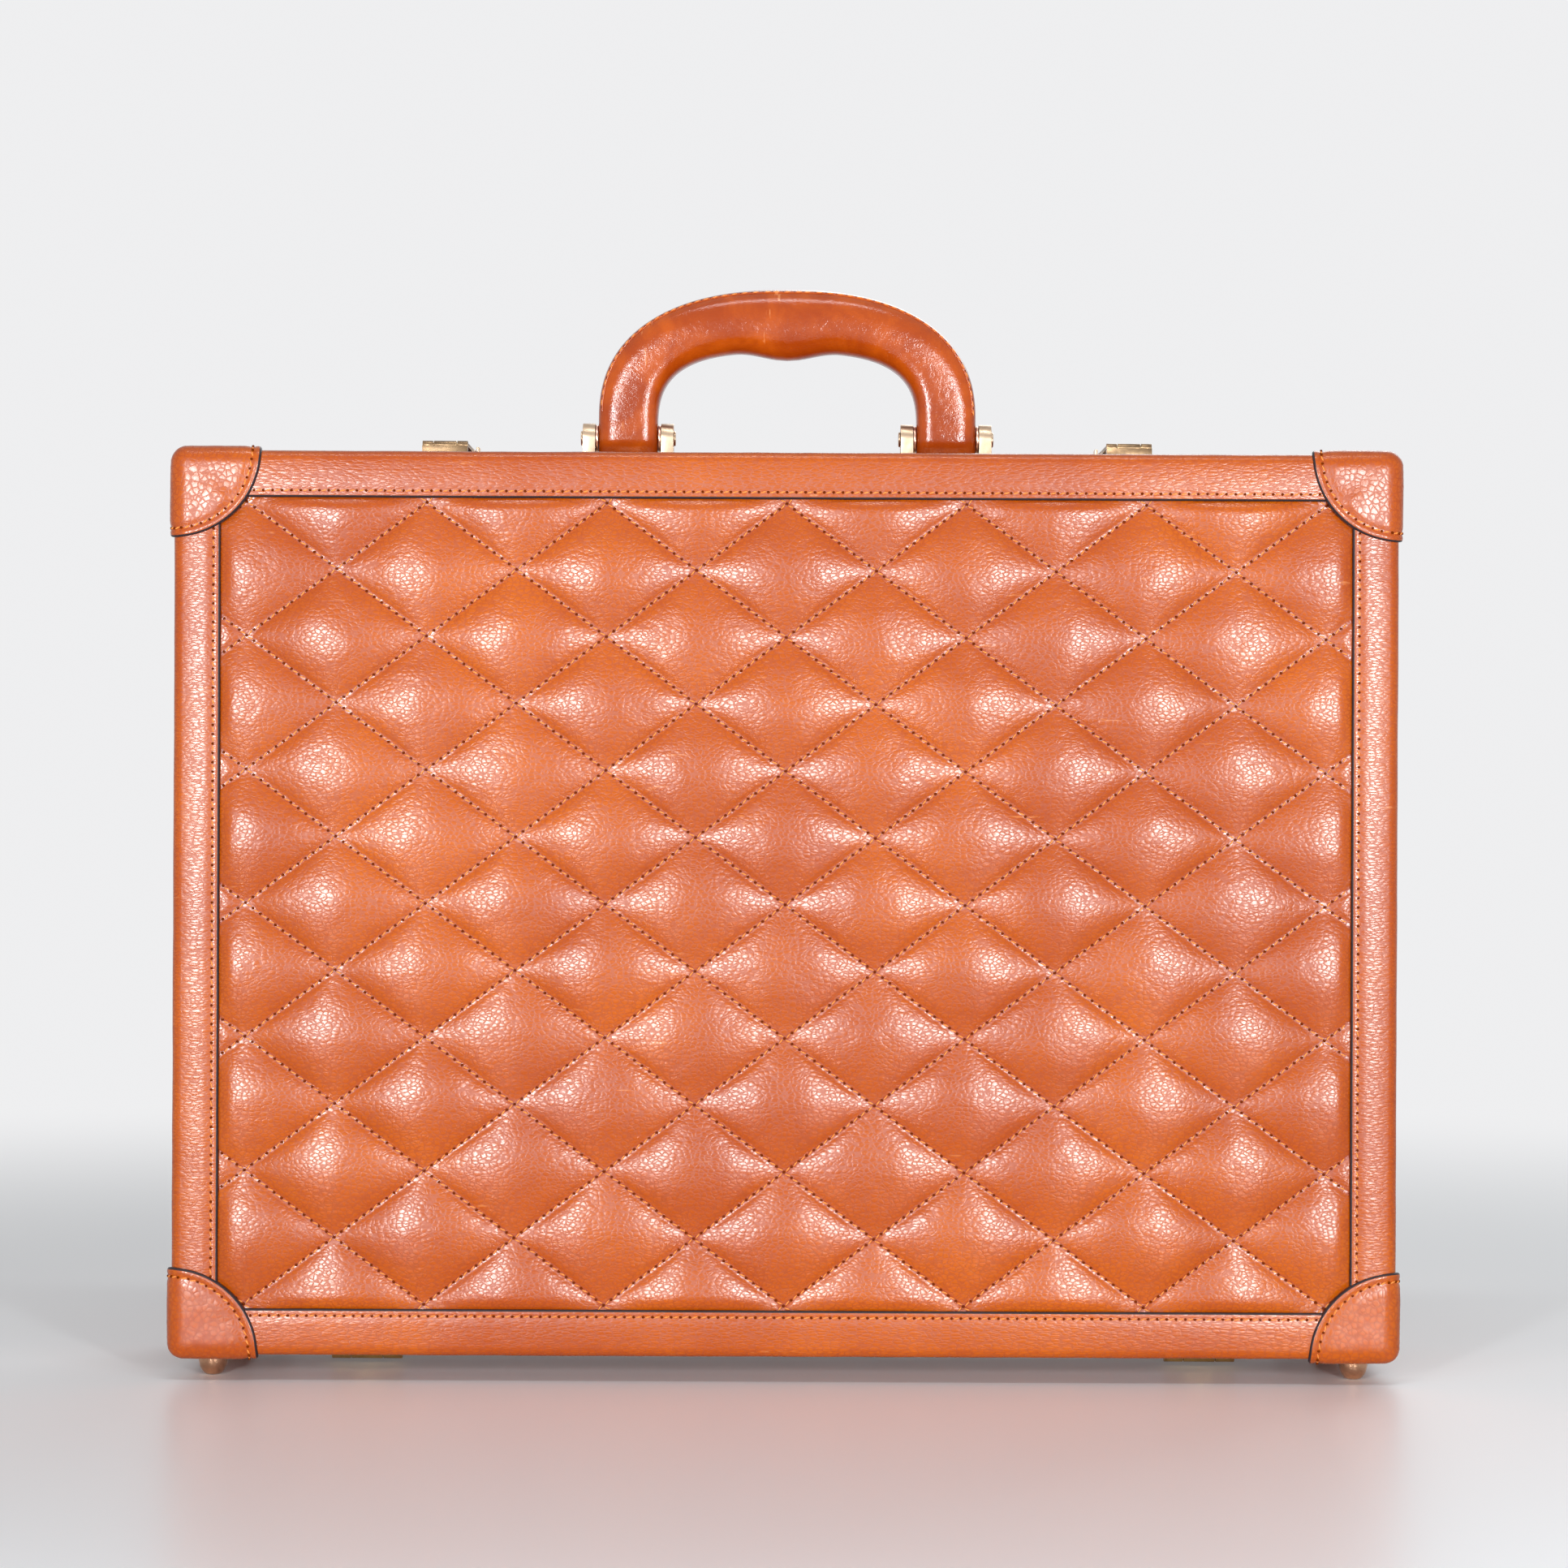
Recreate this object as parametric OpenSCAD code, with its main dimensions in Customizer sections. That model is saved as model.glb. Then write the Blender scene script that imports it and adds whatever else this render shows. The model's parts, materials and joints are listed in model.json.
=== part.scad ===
// Attache case, standing on its hinge side: a quilted leather case on a plywood body,
// with a stitched leather handle, two hasp latches, two butt hinges and folding lid stays.
// X runs along the width, Y from the lid to the base, Z up. All sizes are in millimetres.

/* [Case] */
// Width of the face over the leather
case_w = 440; // [410:1:470]
// Height of the face over the leather
case_h = 325; // [300:1:360]
// Depth of the front half, the lid
lid_d = 50; // [46:1:60]
// Depth of the rear half, the base
base_d = 58; // [56:1:70]
// Gap between the rims of the two shut halves
rim_gap = 0.4; // [0.3:0.1:0.8]
// Height of the leather above the surface that the case stands on
ground_h = 9.1; // [8.5:0.1:12]

/* [Body] */
// Thickness of the plywood walls
ply_t = 5; // [4:0.5:7]
// Thickness of the plywood face panels
panel_t = 4; // [3:0.5:6]
// Thickness of the leather over the plywood
leather_t = 1.6; // [1.2:0.1:2]
// Thickness of the lining
lining_t = 1.2; // [0.8:0.1:2]
// Outer radius of the leather along the face edges
edge_r = 4; // [3:0.5:5]
// Width of the leather border on the face
border_w = 16.4; // [14:0.2:20]
// Width of the cut where two border strips meet
mitre_gap = 0.2; // [0.1:0.1:0.4]

/* [Dust lip] */
// Thickness of the lip that stands out of the base rim
lip_t = 3; // [2:0.5:4]
// Reach of the lip into the lid
lip_out = 6; // [4:0.5:8]
// Length of the lip that is glued inside the base
lip_in = 10; // [6:1:14]
// Clearance between the lip and the lid lining
lip_clear = 0.5; // [0.4:0.1:1]

/* [Quilting] */
// Width of one quilted diamond, corner to corner
diamond_w = 64.6; // [56:0.2:72]
// Height of one quilted diamond, corner to corner
diamond_h = 48; // [40:0.5:56]
// Depth of foam and leather at the crown of a diamond
crown_t = 4.2; // [3.5:0.1:4.5]
// Thickness of foam and leather along a sewn line
valley_t = 1; // [0.6:0.1:1.3]
// Depth of the face panel behind the outer leather surface
quilt_seat = 3; // [2.8:0.1:3.5]

/* [Corner caps] */
// Radius of the leather cap on each face corner
cap_r = 31.5; // [30:0.5:36]
// Thickness of the cap leather
cap_t = 1.6; // [1.2:0.1:2]
// Radius of the cap's upright corner
cap_corner_r = 3; // [2:0.5:3]

/* [Feet] */
// Largest diameter of a foot
foot_dia = 10.6; // [9:0.2:11]
// Diameter of the flat end of a foot
foot_end_dia = 6.4; // [5:0.2:7]
// Diameter of the foot's stem
foot_stem_dia = 3.6; // [3:0.2:4.4]
// Distance from the side of the case to the foot
foot_inset_x = 13.2; // [12:0.2:14]
// Distance from the face of the case to the foot
foot_inset_y = 18; // [16:0.5:19]

/* [Hinges] */
// Distance from the middle of the case to each hinge
hinge_x = 154; // [120:1:165]
// Width of a hinge
hinge_w = 26; // [24:0.5:30]
// Radius of the hinge barrel
barrel_r = 3.2; // [2.8:0.1:3.4]
// Thickness of a hinge leaf
leaf_t = 1.1; // [0.8:0.1:1.4]
// Reach of a hinge leaf from the pin
leaf_reach = 15; // [13:0.5:18]
// Width of the middle knuckle
middle_knuckle = 11.5; // [10:0.5:13]
// Radius of the hinge pin
hinge_pin_r = 1.4; // [1.2:0.1:1.6]

/* [Handle] */
// Distance of the handle behind the front face
handle_depth = 76; // [72:1:84]
// Half of the handle's width
grip_half = 70.9; // [64:0.5:80]
// Width of a handle leg
leg_w = 22.3; // [20:0.5:24]
// Height of the handle's top above its pins
grip_rise = 56.1; // [52:0.5:64]
// Height of the arch under the grip above the pins
arch_rise = 32.4; // [30:0.5:34]
// Drop of the finger swell under the grip
swell_drop = 2.9; // [0:0.1:4]
// Half of the grip's thickness from front to back
grip_half_d = 10.5; // [9:0.5:12]
// Radius of the rounded end of a leg
leg_end_r = 7.8; // [7:0.1:8]
// Height of the handle pins above the case
pin_h = 10.8; // [10.5:0.1:12.5]
// Radius of a handle pin
handle_pin_r = 1.8; // [1.5:0.1:2]
// Diameter of the steel rod inside the handle
rod_dia = 5; // [4:0.5:6]

/* [Handle brackets] */
// Thickness of a bracket ear
ear_t = 4.7; // [4:0.1:5.5]
// Radius of the rounded top of an ear
ear_r = 5.6; // [5:0.1:6]
// Thickness of the washers beside a leg
washer_t = 1; // [0.6:0.1:1.4]
// Play on each side of a washer
washer_play = 0.1; // [0.1:0.05:0.2]
// Thickness of the bracket's foot plate
bracket_plate_t = 1.5; // [1.2:0.1:1.7]
// Length of the foot plate from front to back
bracket_l = 24; // [23:0.5:28]

/* [Latches] */
// Distance from the middle of the case to each latch
latch_x = 125; // [112:1:160]
// Width of a latch
latch_w = 16.5; // [15.5:0.5:20]
// Radius of the hasp barrel
hasp_barrel_r = 1.5; // [1.4:0.1:1.7]
// Radius of the hasp pin
hasp_pin_r = 0.7; // [0.6:0.1:0.8]
// Height of the hasp pin above the case
hasp_pin_h = 4.4; // [4.4:0.1:5]
// Distance of the hasp pin behind the front face
hasp_depth = 30; // [26:1:34]
// Width of the hasp's own knuckle
hasp_knuckle = 8.3; // [7:0.1:9]
// Thickness of the hasp
hasp_t = 1.4; // [1.2:0.1:1.6]
// Thickness of the latch plates
latch_plate_t = 1; // [0.8:0.1:1.2]
// Length of the lock housing from front to back
housing_l = 10; // [9:0.5:12]
// Travel of the thumb slide
slide_travel = 2; // [1.5:0.5:3]

/* [Lid stays] */
// Distance of the base pivot behind the rim
stay_base_y = 38; // [34:1:40]
// Height of the base pivot above the hinge pin
stay_base_z = 44; // [40:1:60]
// Distance of the lid pivot in front of the rim
stay_lid_y = 24; // [18:1:28]
// Height of the lid pivot above the hinge pin
stay_lid_z = 84; // [76:1:100]
// Width of a stay's strip
stay_w = 9; // [7:0.5:10]
// Thickness of a stay's strip
stay_t = 1.6; // [1.2:0.1:2]
// Radius of the stay rivets
stay_pin_r = 2; // [1.6:0.1:2.3]

/* [Lid pocket] */
// Width of the document pocket
pocket_w = 370; // [300:5:380]
// Height of the document pocket
pocket_h = 190; // [120:5:220]
// Room inside the pocket
pocket_room = 8; // [6:1:12]
// Thickness of the pocket leather
pocket_t = 1.5; // [1.2:0.1:2]

/* [Fasteners] */
// Radius of a screw's shank
screw_r = 1.1; // [0.8:0.1:1.3]
// Radius of a screw's head
screw_head_r = 1.9; // [1.6:0.1:2]
// Height of a screw's head
screw_head_t = 0.6; // [0.4:0.1:0.7]
// Length of a screw in the plywood
screw_bite = 4; // [3:0.5:4]

/* [Fits] */
// Radial clearance of a turning pin
pin_clear = 0.05; // [0.03:0.01:0.08]
// Gap between pieces that move past each other
move_clear = 0.3; // [0.2:0.05:0.4]

/* [Hidden] */
$fn = 48;
LID = -1;
BASE = 1;

leather = "#d9561f";
dark_leather = "#7a3216";
suede = "#b98a5a";
birch = "#c9a878";
brass = "#b08a56";
pale_brass = "#dcc39c";
steel = "#8d8f92";

// Planes of the shut case
half_d = (lid_d + base_d) / 2;
rim_y = lid_d - half_d;
mid_z = ground_h + case_h / 2;
top_z = ground_h + case_h;
wall_x = case_w / 2 - leather_t - ply_t;
wall_z = case_h / 2 - leather_t - ply_t;
room_x = wall_x - lining_t;
room_z = wall_z - lining_t;
floor_d = quilt_seat + panel_t + lining_t;
window_x = case_w / 2 - border_w;
window_z = case_h / 2 - border_w;

// Hinge, handle and latch positions
barrel_drop = leaf_t + barrel_r;
hinge_z = ground_h - barrel_drop;
handle_y = handle_depth - half_d;
pin_z = top_z + pin_h;
leg_x = grip_half - leg_w / 2;
ear_in = leg_w / 2 + washer_t + 2 * washer_play;
hasp_y = hasp_depth - half_d;
hasp_web = 1.2;
hasp_z = top_z + hasp_pin_h;
knuckle_gap = 0.3;
cut = 1;

// Places one half: its outer face at Y = 0, its depth along +Y, its middle at Z = 0
module in_half(side) {
    translate([0, side * half_d, mid_z])
        if (side == BASE) mirror([0, 1, 0]) children();
        else children();
}

function depth_of(side) = side == BASE ? base_d : lid_d;
function name_x(name) = name == "left" ? -1 : 1;

// A box centred on X and Z that runs from one depth to another
module slab(half_x, from, to, half_z) {
    translate([-half_x, from, -half_z]) cube([2 * half_x, to - from, 2 * half_z]);
}

module ring(outer_x, outer_z, inner_x, inner_z, from, to) {
    difference() {
        slab(outer_x, from, to, outer_z);
        slab(inner_x, from - cut, to + cut, inner_z);
    }
}

// Outline of a block with its two front corners rounded
module front_round(width, depth, r) {
    translate([-width / 2, r]) square([width, depth - r]);
    translate([-width / 2 + r, 0]) square([width - 2 * r, depth]);
    for (s = [-1, 1]) translate([s * (width / 2 - r), r]) circle(r);
}

module round_rect(width, height, r) {
    square([width, height - 2 * r], center = true);
    square([width - 2 * r, height], center = true);
    for (sx = [-1, 1], sy = [-1, 1])
        translate([sx * (width / 2 - r), sy * (height / 2 - r)]) circle(r);
}

// Outside of one half, grown by g, with its face edges rounded
module envelope(depth, g) {
    width = case_w + 2 * g;
    height = case_h + 2 * g;
    intersection() {
        translate([0, -g, -height / 2])
            linear_extrude(height) front_round(width, depth + g, edge_r + g);
        translate([-width / 2, -g, 0])
            rotate([0, 90, 0]) linear_extrude(width) front_round(height, depth + g, edge_r + g);
    }
}

// Screw whose head rests at the origin and whose shank runs along +Z
module screw(length) {
    cylinder(h = length, r = screw_r);
    translate([0, 0, -screw_head_t]) cylinder(h = screw_head_t, r = screw_head_r);
}

// Places of the screws and stems in the walls, as [x, y]
hinge_screw_x = 8;
hinge_screw_y = 10;
function hinge_spots(side) = [for (sx = [-1, 1], k = [-1, 1])
    [sx * hinge_x + k * hinge_screw_x, rim_y + side * hinge_screw_y]];
function foot_spots(side) = [for (sx = [-1, 1])
    [sx * (case_w / 2 - foot_inset_x), side * (half_d - foot_inset_y)]];
bracket_screw_y = 9;
bracket_screw_x = 7;
bracket_spots = [for (sx = [-1, 1], kx = [-1, 1], ky = [-1, 1])
    [sx * leg_x + kx * bracket_screw_x, handle_y + ky * bracket_screw_y]];
latch_screw_y = 3.2;
latch_spots = [for (sx = [-1, 1]) [sx * latch_x, rim_y + latch_screw_y]];
hasp_screw_y = 8;
hasp_spots = [for (sx = [-1, 1]) [sx * latch_x, hasp_y + hasp_screw_y]];

// Pilot holes through the leather into the plywood of one half
module wall_holes(side) {
    bite = leather_t + screw_bite;
    out = bracket_plate_t + hasp_web + leaf_t + cap_t;
    for (p = hinge_spots(side))
        translate([p[0], p[1], ground_h - out]) cylinder(h = bite + out, r = screw_r);
    for (p = foot_spots(side))
        translate([p[0], p[1], ground_h - out]) cylinder(h = bite + out, r = foot_stem_dia / 2);
    top_spots = side == BASE ? concat(bracket_spots, latch_spots) : hasp_spots;
    for (p = top_spots)
        translate([p[0], p[1], top_z - bite]) cylinder(h = bite + out, r = screw_r);
}

module frame(side) {
    depth = depth_of(side);
    color(birch) difference() {
        in_half(side)
            ring(case_w / 2 - leather_t, case_h / 2 - leather_t, wall_x, wall_z,
                leather_t, depth - rim_gap / 2 - leather_t);
        wall_holes(side);
    }
}

module panel(side) {
    color(birch) in_half(side) slab(wall_x, quilt_seat, quilt_seat + panel_t, wall_z);
}

// Leather strips that cover the border of the face, the outer walls and the rim
module border(side) {
    depth = depth_of(side);
    rim = depth - rim_gap / 2;
    color(leather) difference() {
        in_half(side) difference() {
            envelope(rim, 0);
            slab(case_w / 2 - leather_t, leather_t, rim - leather_t, case_h / 2 - leather_t);
            slab(wall_x, leather_t, rim + cut, wall_z);
            slab(window_x, -cut, depth, window_z);
            for (sx = [-1, 1], sz = [-1, 1])
                translate([sx * case_w / 2, 0, sz * case_h / 2]) rotate([0, atan2(sz, -sx), 0])
                    translate([-cut, -cut, -mitre_gap / 2])
                        cube([2 * border_w + cut, depth + 2 * cut, mitre_gap]);
        }
        wall_holes(side);
    }
}

// Leather cap on one corner of the face
module cap(side, sx, sz) {
    depth = cap_r + 2 * edge_r;
    color(leather) difference() {
        in_half(side) intersection() {
            difference() {
                intersection() {
                    envelope(depth, cap_t);
                    translate([0, depth, 0]) rotate([90, 0, 0]) linear_extrude(depth + 2 * cap_t)
                        round_rect(case_w + 2 * cap_t, case_h + 2 * cap_t, cap_corner_r);
                }
                envelope(depth + cut, 0);
            }
            translate([sx * case_w / 2, 0, sz * case_h / 2]) sphere(cap_r);
        }
        if (sz < 0) wall_holes(side);
    }
}

module lining(side) {
    depth = depth_of(side) - rim_gap / 2;
    color(suede) in_half(side) difference() {
        slab(wall_x, quilt_seat + panel_t, depth, wall_z);
        slab(room_x, floor_d, depth + cut, room_z);
    }
}

// Lip glued inside the base rim; the lid closes over it
module base_lip() {
    rim = base_d - rim_gap / 2;
    color(dark_leather) in_half(BASE) {
        ring(room_x, room_z, room_x - lip_t, room_z - lip_t, base_d - lip_in, rim);
        ring(room_x - lip_clear, room_z - lip_clear, room_x - lip_t, room_z - lip_t,
            rim, base_d + lip_out);
    }
}

// Quilting: a grid with four steps to each diamond, so the sewn lines run along its edges
step_x = diamond_w / 4;
step_z = diamond_h / 4;
steps_x = ceil(window_x / step_x) - 1;
steps_z = ceil(window_z / step_z) - 1;
tuck_t = quilt_seat - leather_t;

function quilt_lines(count, step, window, tuck) = concat(
    [-tuck, -window], [for (i = [-count:count]) i * step], [window, tuck]);
function seam_distance(t) = abs(t - 4 * round(t / 4)) / 2;
function crown(t) = 1 - (1 - t) * (1 - t);
function quilt_height(x, z) = abs(x) >= window_x || abs(z) >= window_z ? tuck_t
    : valley_t + (crown_t - valley_t)
        * crown(seam_distance(x / step_x - z / step_z))
        * crown(seam_distance(x / step_x + z / step_z));

// Closed solid under a grid of heights, with a flat back at Z = 0
module height_solid(xs, zs, odd) {
    cols = len(xs);
    rows = len(zs);
    last_col = cols - 1;
    last_row = rows - 1;
    top = [for (x = xs, z = zs) [x, z, quilt_height(x, z)]];
    base = [for (c = [[0, 0], [last_col, 0], [last_col, last_row], [0, last_row]])
        [xs[c[0]], zs[c[1]], 0]];
    at = function(a, b) a * rows + b;
    c00 = cols * rows;
    c10 = c00 + 1;
    c11 = c00 + 2;
    c01 = c00 + 3;
    skin = [for (a = [0:last_col - 1], b = [0:last_row - 1], half = [0, 1])
        let (p = at(a, b), q = at(a + 1, b), r = at(a + 1, b + 1), s = at(a, b + 1))
        (a + b + odd) % 2 == 0
            ? (half == 0 ? [p, r, q] : [p, s, r])
            : (half == 0 ? [p, s, q] : [q, s, r])];
    south = [for (a = [0:last_col - 1]) [c00, at(a, 0), at(a + 1, 0)]];
    east = [for (b = [0:last_row - 1]) [c10, at(last_col, b), at(last_col, b + 1)]];
    north = [for (a = [0:last_col - 1]) [c11, at(a + 1, last_row), at(a, last_row)]];
    west = [for (b = [0:last_row - 1]) [c01, at(0, b + 1), at(0, b)]];
    corners = [[c00, at(last_col, 0), c10], [c10, at(last_col, last_row), c11],
        [c11, at(0, last_row), c01], [c01, at(0, 0), c00]];
    back = [[c00, c10, c11], [c00, c11, c01]];
    polyhedron(concat(top, base), concat(skin, south, east, north, west, corners, back));
}

module quilt(side) {
    color(leather) in_half(side) translate([0, quilt_seat, 0]) rotate([90, 0, 0])
        height_solid(quilt_lines(steps_x, step_x, window_x, wall_x),
            quilt_lines(steps_z, step_z, window_z, wall_z), steps_x + steps_z);
}

// Turned foot: a tapered stud with a flat end, on a stem driven into the wall
module feet(side) {
    height = ground_h - cap_t;
    r = foot_dia / 2;
    color(pale_brass) for (p = foot_spots(side)) translate([p[0], p[1], 0]) {
        rotate_extrude() polygon([[0, 0], [foot_end_dia / 2, 0], [r * 0.86, height * 0.16],
            [r, height * 0.8], [r, height], [0, height]]);
        translate([0, 0, height]) cylinder(h = cap_t + leather_t + screw_bite, r = foot_stem_dia / 2);
    }
}

// Butt hinge: the base leaf holds the two outer knuckles and the lid leaf the middle one
outer_knuckle = (hinge_w - middle_knuckle) / 2 - knuckle_gap;
function knuckle_spans(side) = side == BASE
    ? [[-hinge_w / 2, outer_knuckle], [hinge_w / 2 - outer_knuckle, outer_knuckle]]
    : [[-middle_knuckle / 2, middle_knuckle]];

module hinge_leaf(side, sx) {
    relief = barrel_r * 0.6;
    bore = side == BASE ? hinge_pin_r : hinge_pin_r + pin_clear;
    near = side == BASE ? relief : -leaf_reach;
    color(brass) difference() {
        translate([sx * hinge_x, rim_y, hinge_z]) {
            translate([-hinge_w / 2, near, barrel_r]) cube([hinge_w, leaf_reach - relief, leaf_t]);
            for (k = knuckle_spans(side)) translate([k[0], 0, 0]) difference() {
                union() {
                    rotate([0, 90, 0]) cylinder(h = k[1], r = barrel_r);
                    translate([0, side == BASE ? rim_gap / 2 : -barrel_r, 0])
                        cube([k[1], barrel_r - rim_gap / 2, barrel_r + leaf_t]);
                }
                translate([-cut, 0, 0]) rotate([0, 90, 0]) cylinder(h = k[1] + 2 * cut, r = bore);
            }
        }
        wall_holes(side);
    }
}

module hinge_screws(side) {
    color(brass) for (p = hinge_spots(side))
        translate([p[0], p[1], ground_h - leaf_t]) screw(leaf_t + leather_t + screw_bite);
}

module hinge_pins() {
    color(steel) for (sx = [-1, 1])
        translate([sx * hinge_x - hinge_w / 2, rim_y, hinge_z])
            rotate([0, 90, 0]) cylinder(h = hinge_w, r = hinge_pin_r);
}

// Handle brackets: a foot plate with two rounded ears
module handle_bracket(sx) {
    half = ear_in + ear_t;
    color(pale_brass) difference() {
        translate([sx * leg_x, handle_y, top_z]) {
            translate([-half, -bracket_l / 2, 0]) cube([2 * half, bracket_l, bracket_plate_t]);
            for (x = [-half, ear_in]) translate([x, 0, 0]) {
                translate([0, -ear_r, 0]) cube([ear_t, 2 * ear_r, pin_h]);
                translate([0, 0, pin_h]) rotate([0, 90, 0]) cylinder(h = ear_t, r = ear_r);
            }
        }
        translate([sx * leg_x - half - cut, handle_y, pin_z])
            rotate([0, 90, 0]) cylinder(h = 2 * half + 2 * cut, r = handle_pin_r);
        wall_holes(BASE);
    }
}

module bracket_screws() {
    color(brass) for (p = bracket_spots)
        translate([p[0], p[1], top_z + bracket_plate_t]) mirror([0, 0, 1])
            screw(bracket_plate_t + leather_t + screw_bite);
}

pin_head_t = 0.8;
module handle_pins() {
    half = ear_in + ear_t;
    color(pale_brass) for (sx = [-1, 1]) translate([sx * leg_x - half, handle_y, pin_z])
        rotate([0, 90, 0]) {
            translate([0, 0, -pin_head_t])
                cylinder(h = 2 * half + 2 * pin_head_t, r = handle_pin_r);
            translate([0, 0, -pin_head_t]) cylinder(h = pin_head_t, r = handle_pin_r + 1);
            translate([0, 0, 2 * half]) cylinder(h = pin_head_t, r = handle_pin_r + 1);
        }
}

module handle_washers() {
    color(pale_brass) for (sx = [-1, 1], k = [-1, 1])
        translate([sx * leg_x + k * (leg_w / 2 + washer_play + washer_t / 2), handle_y, pin_z])
            rotate([0, 90, 0]) difference() {
                cylinder(h = washer_t, r = ear_r - 0.6, center = true);
                cylinder(h = washer_t + cut, r = handle_pin_r + pin_clear, center = true);
            }
}

// Steel rod bent to the arch, with an eye on each pin
core_bend_r = 38;
eye_r = 4.5;
eye_cover = 1;
core_top = (grip_rise + arch_rise) / 2 - swell_drop / 2;
module handle_core_solid() {
    eye_l = leg_w - 2 * eye_cover;
    bend_z = core_top - core_bend_r;
    for (sx = [-1, 1]) {
        translate([sx * leg_x, 0, 0]) cylinder(h = bend_z, r = rod_dia / 2);
        translate([sx * (leg_x - core_bend_r), 0, bend_z]) rotate([90, 0, 0])
            rotate([0, 0, sx > 0 ? 0 : 90])
                rotate_extrude(angle = 90) translate([core_bend_r, 0]) circle(rod_dia / 2);
        translate([sx * leg_x - eye_l / 2, 0, 0]) rotate([0, 90, 0])
            cylinder(h = eye_l, r = eye_r);
    }
    span = leg_x - core_bend_r;
    translate([-span, 0, core_top]) rotate([0, 90, 0]) cylinder(h = 2 * span, r = rod_dia / 2);
}

module pin_bores(r) {
    translate([-grip_half - cut, 0, 0]) rotate([0, 90, 0])
        cylinder(h = 2 * (grip_half + cut), r = r);
}

module handle_core() {
    color(steel) translate([0, handle_y, pin_z]) difference() {
        handle_core_solid();
        pin_bores(handle_pin_r + pin_clear);
    }
}

// Leather grip: closed rings between an outer and an inner arch, each a super-ellipse
ring_sides = 16;
ring_step = 6;
outer_power = 2.35;
inner_power = 3.1;
outer_spring = 7.1;
inner_spring = 2.1;
swell_half = 20;
leg_squareness = 4;
grip_squareness = 2.4;

function signed_pow(v, e) = sign(v) * pow(abs(v), e);
function arch(half, rise, spring, n, a) = [
    -half * signed_pow(cos(a), 2 / n), spring + (rise - spring) * pow(abs(sin(a)), 2 / n)];
function swell(x) = abs(x) < swell_half ? swell_drop * pow(cos(90 * x / swell_half), 2) : 0;
function inner_arch(a) =
    let (p = arch(grip_half - leg_w, arch_rise, inner_spring, inner_power, a))
    [p[0], p[1] - swell(p[0])];

// Each ring is [outer point, inner point, half depth, squareness]
leg_rings = [for (k = [75, 50, 25])
    [[-grip_half, -leg_end_r * sin(k)], [leg_w - grip_half, -leg_end_r * sin(k)],
        leg_end_r * cos(k), leg_squareness]];
arch_rings = [for (a = [0:ring_step:180])
    [arch(grip_half, grip_rise, outer_spring, outer_power, a), inner_arch(a),
        leg_end_r + (grip_half_d - leg_end_r) * sin(a),
        leg_squareness + (grip_squareness - leg_squareness) * sin(a)]];
function mirrored(r) = [[-r[0][0], r[0][1]], [-r[1][0], r[1][1]], r[2], r[3]];
grip_rings = concat(leg_rings, arch_rings, [for (i = [2:-1:0]) mirrored(leg_rings[i])]);

function ring_points(r) = [for (j = [0:ring_sides - 1])
    let (a = 360 * j / ring_sides, mid = (r[0] + r[1]) / 2, reach = (r[0] - r[1]) / 2,
        c = signed_pow(cos(a), 2 / r[3]), s = signed_pow(sin(a), 2 / r[3]))
    [mid[0] + reach[0] * c, r[2] * s, mid[1] + reach[1] * c]];

module grip_solid() {
    rings = len(grip_rings);
    at = function(i, j) i * ring_sides + j % ring_sides;
    points = [for (r = grip_rings) each ring_points(r)];
    sides = [for (i = [0:rings - 2], j = [0:ring_sides - 1], half = [0, 1]) half == 0
        ? [at(i, j), at(i, j + 1), at(i + 1, j + 1)]
        : [at(i, j), at(i + 1, j + 1), at(i + 1, j)]];
    ends = [for (j = [1:ring_sides - 2], last = [0, 1]) last == 0
        ? [at(0, 0), at(0, j + 1), at(0, j)]
        : [at(rings - 1, 0), at(rings - 1, j), at(rings - 1, j + 1)]];
    polyhedron(points, concat(sides, ends));
}

module handle_leather() {
    color(leather) translate([0, handle_y, pin_z]) difference() {
        grip_solid();
        handle_core_solid();
        pin_bores(handle_pin_r + move_clear);
    }
}

// Latch sizes along Y, counted from the rim of the base
case_front = 1;
tongue_from = 6;
tongue_to = 14;
tongue_half = 4.5;
tongue_lift = 1;
housing_from = 16.5;
housing_to = housing_from + housing_l;
housing_wall = 1;
flap_z = hasp_z + hasp_barrel_r - hasp_t - 0.5;
flap_top = flap_z + hasp_t;
rail_in = tongue_half + 0.7;
latch_floor = top_z + latch_plate_t;

// Thumb slide: a block with a nose inside the housing, and a rod to the knob
block_y = housing_from + 2.5;
block_l = housing_l - 2 * 2.5;
block_z = latch_floor + move_clear;
block_h = 2.2;
block_half = 2;
nose_l = block_y - tongue_to - move_clear;
slide_rod_r = 0.6;
slide_rod_y = block_y + block_l / 2;
slide_rod_z = block_z + block_h / 2;
knob_h = 5.4;
knob_t = 1.1;
spring_r = 1.2;

// Places a latch piece that faces the handle
module beside_handle(sx) {
    translate([sx * latch_x, rim_y, 0]) mirror([sx > 0 ? 1 : 0, 0, 0]) children();
}

module x_rod(from, to, y, z, r) {
    translate([from, y, z]) rotate([0, 90, 0]) cylinder(h = to - from, r = r);
}

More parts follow.
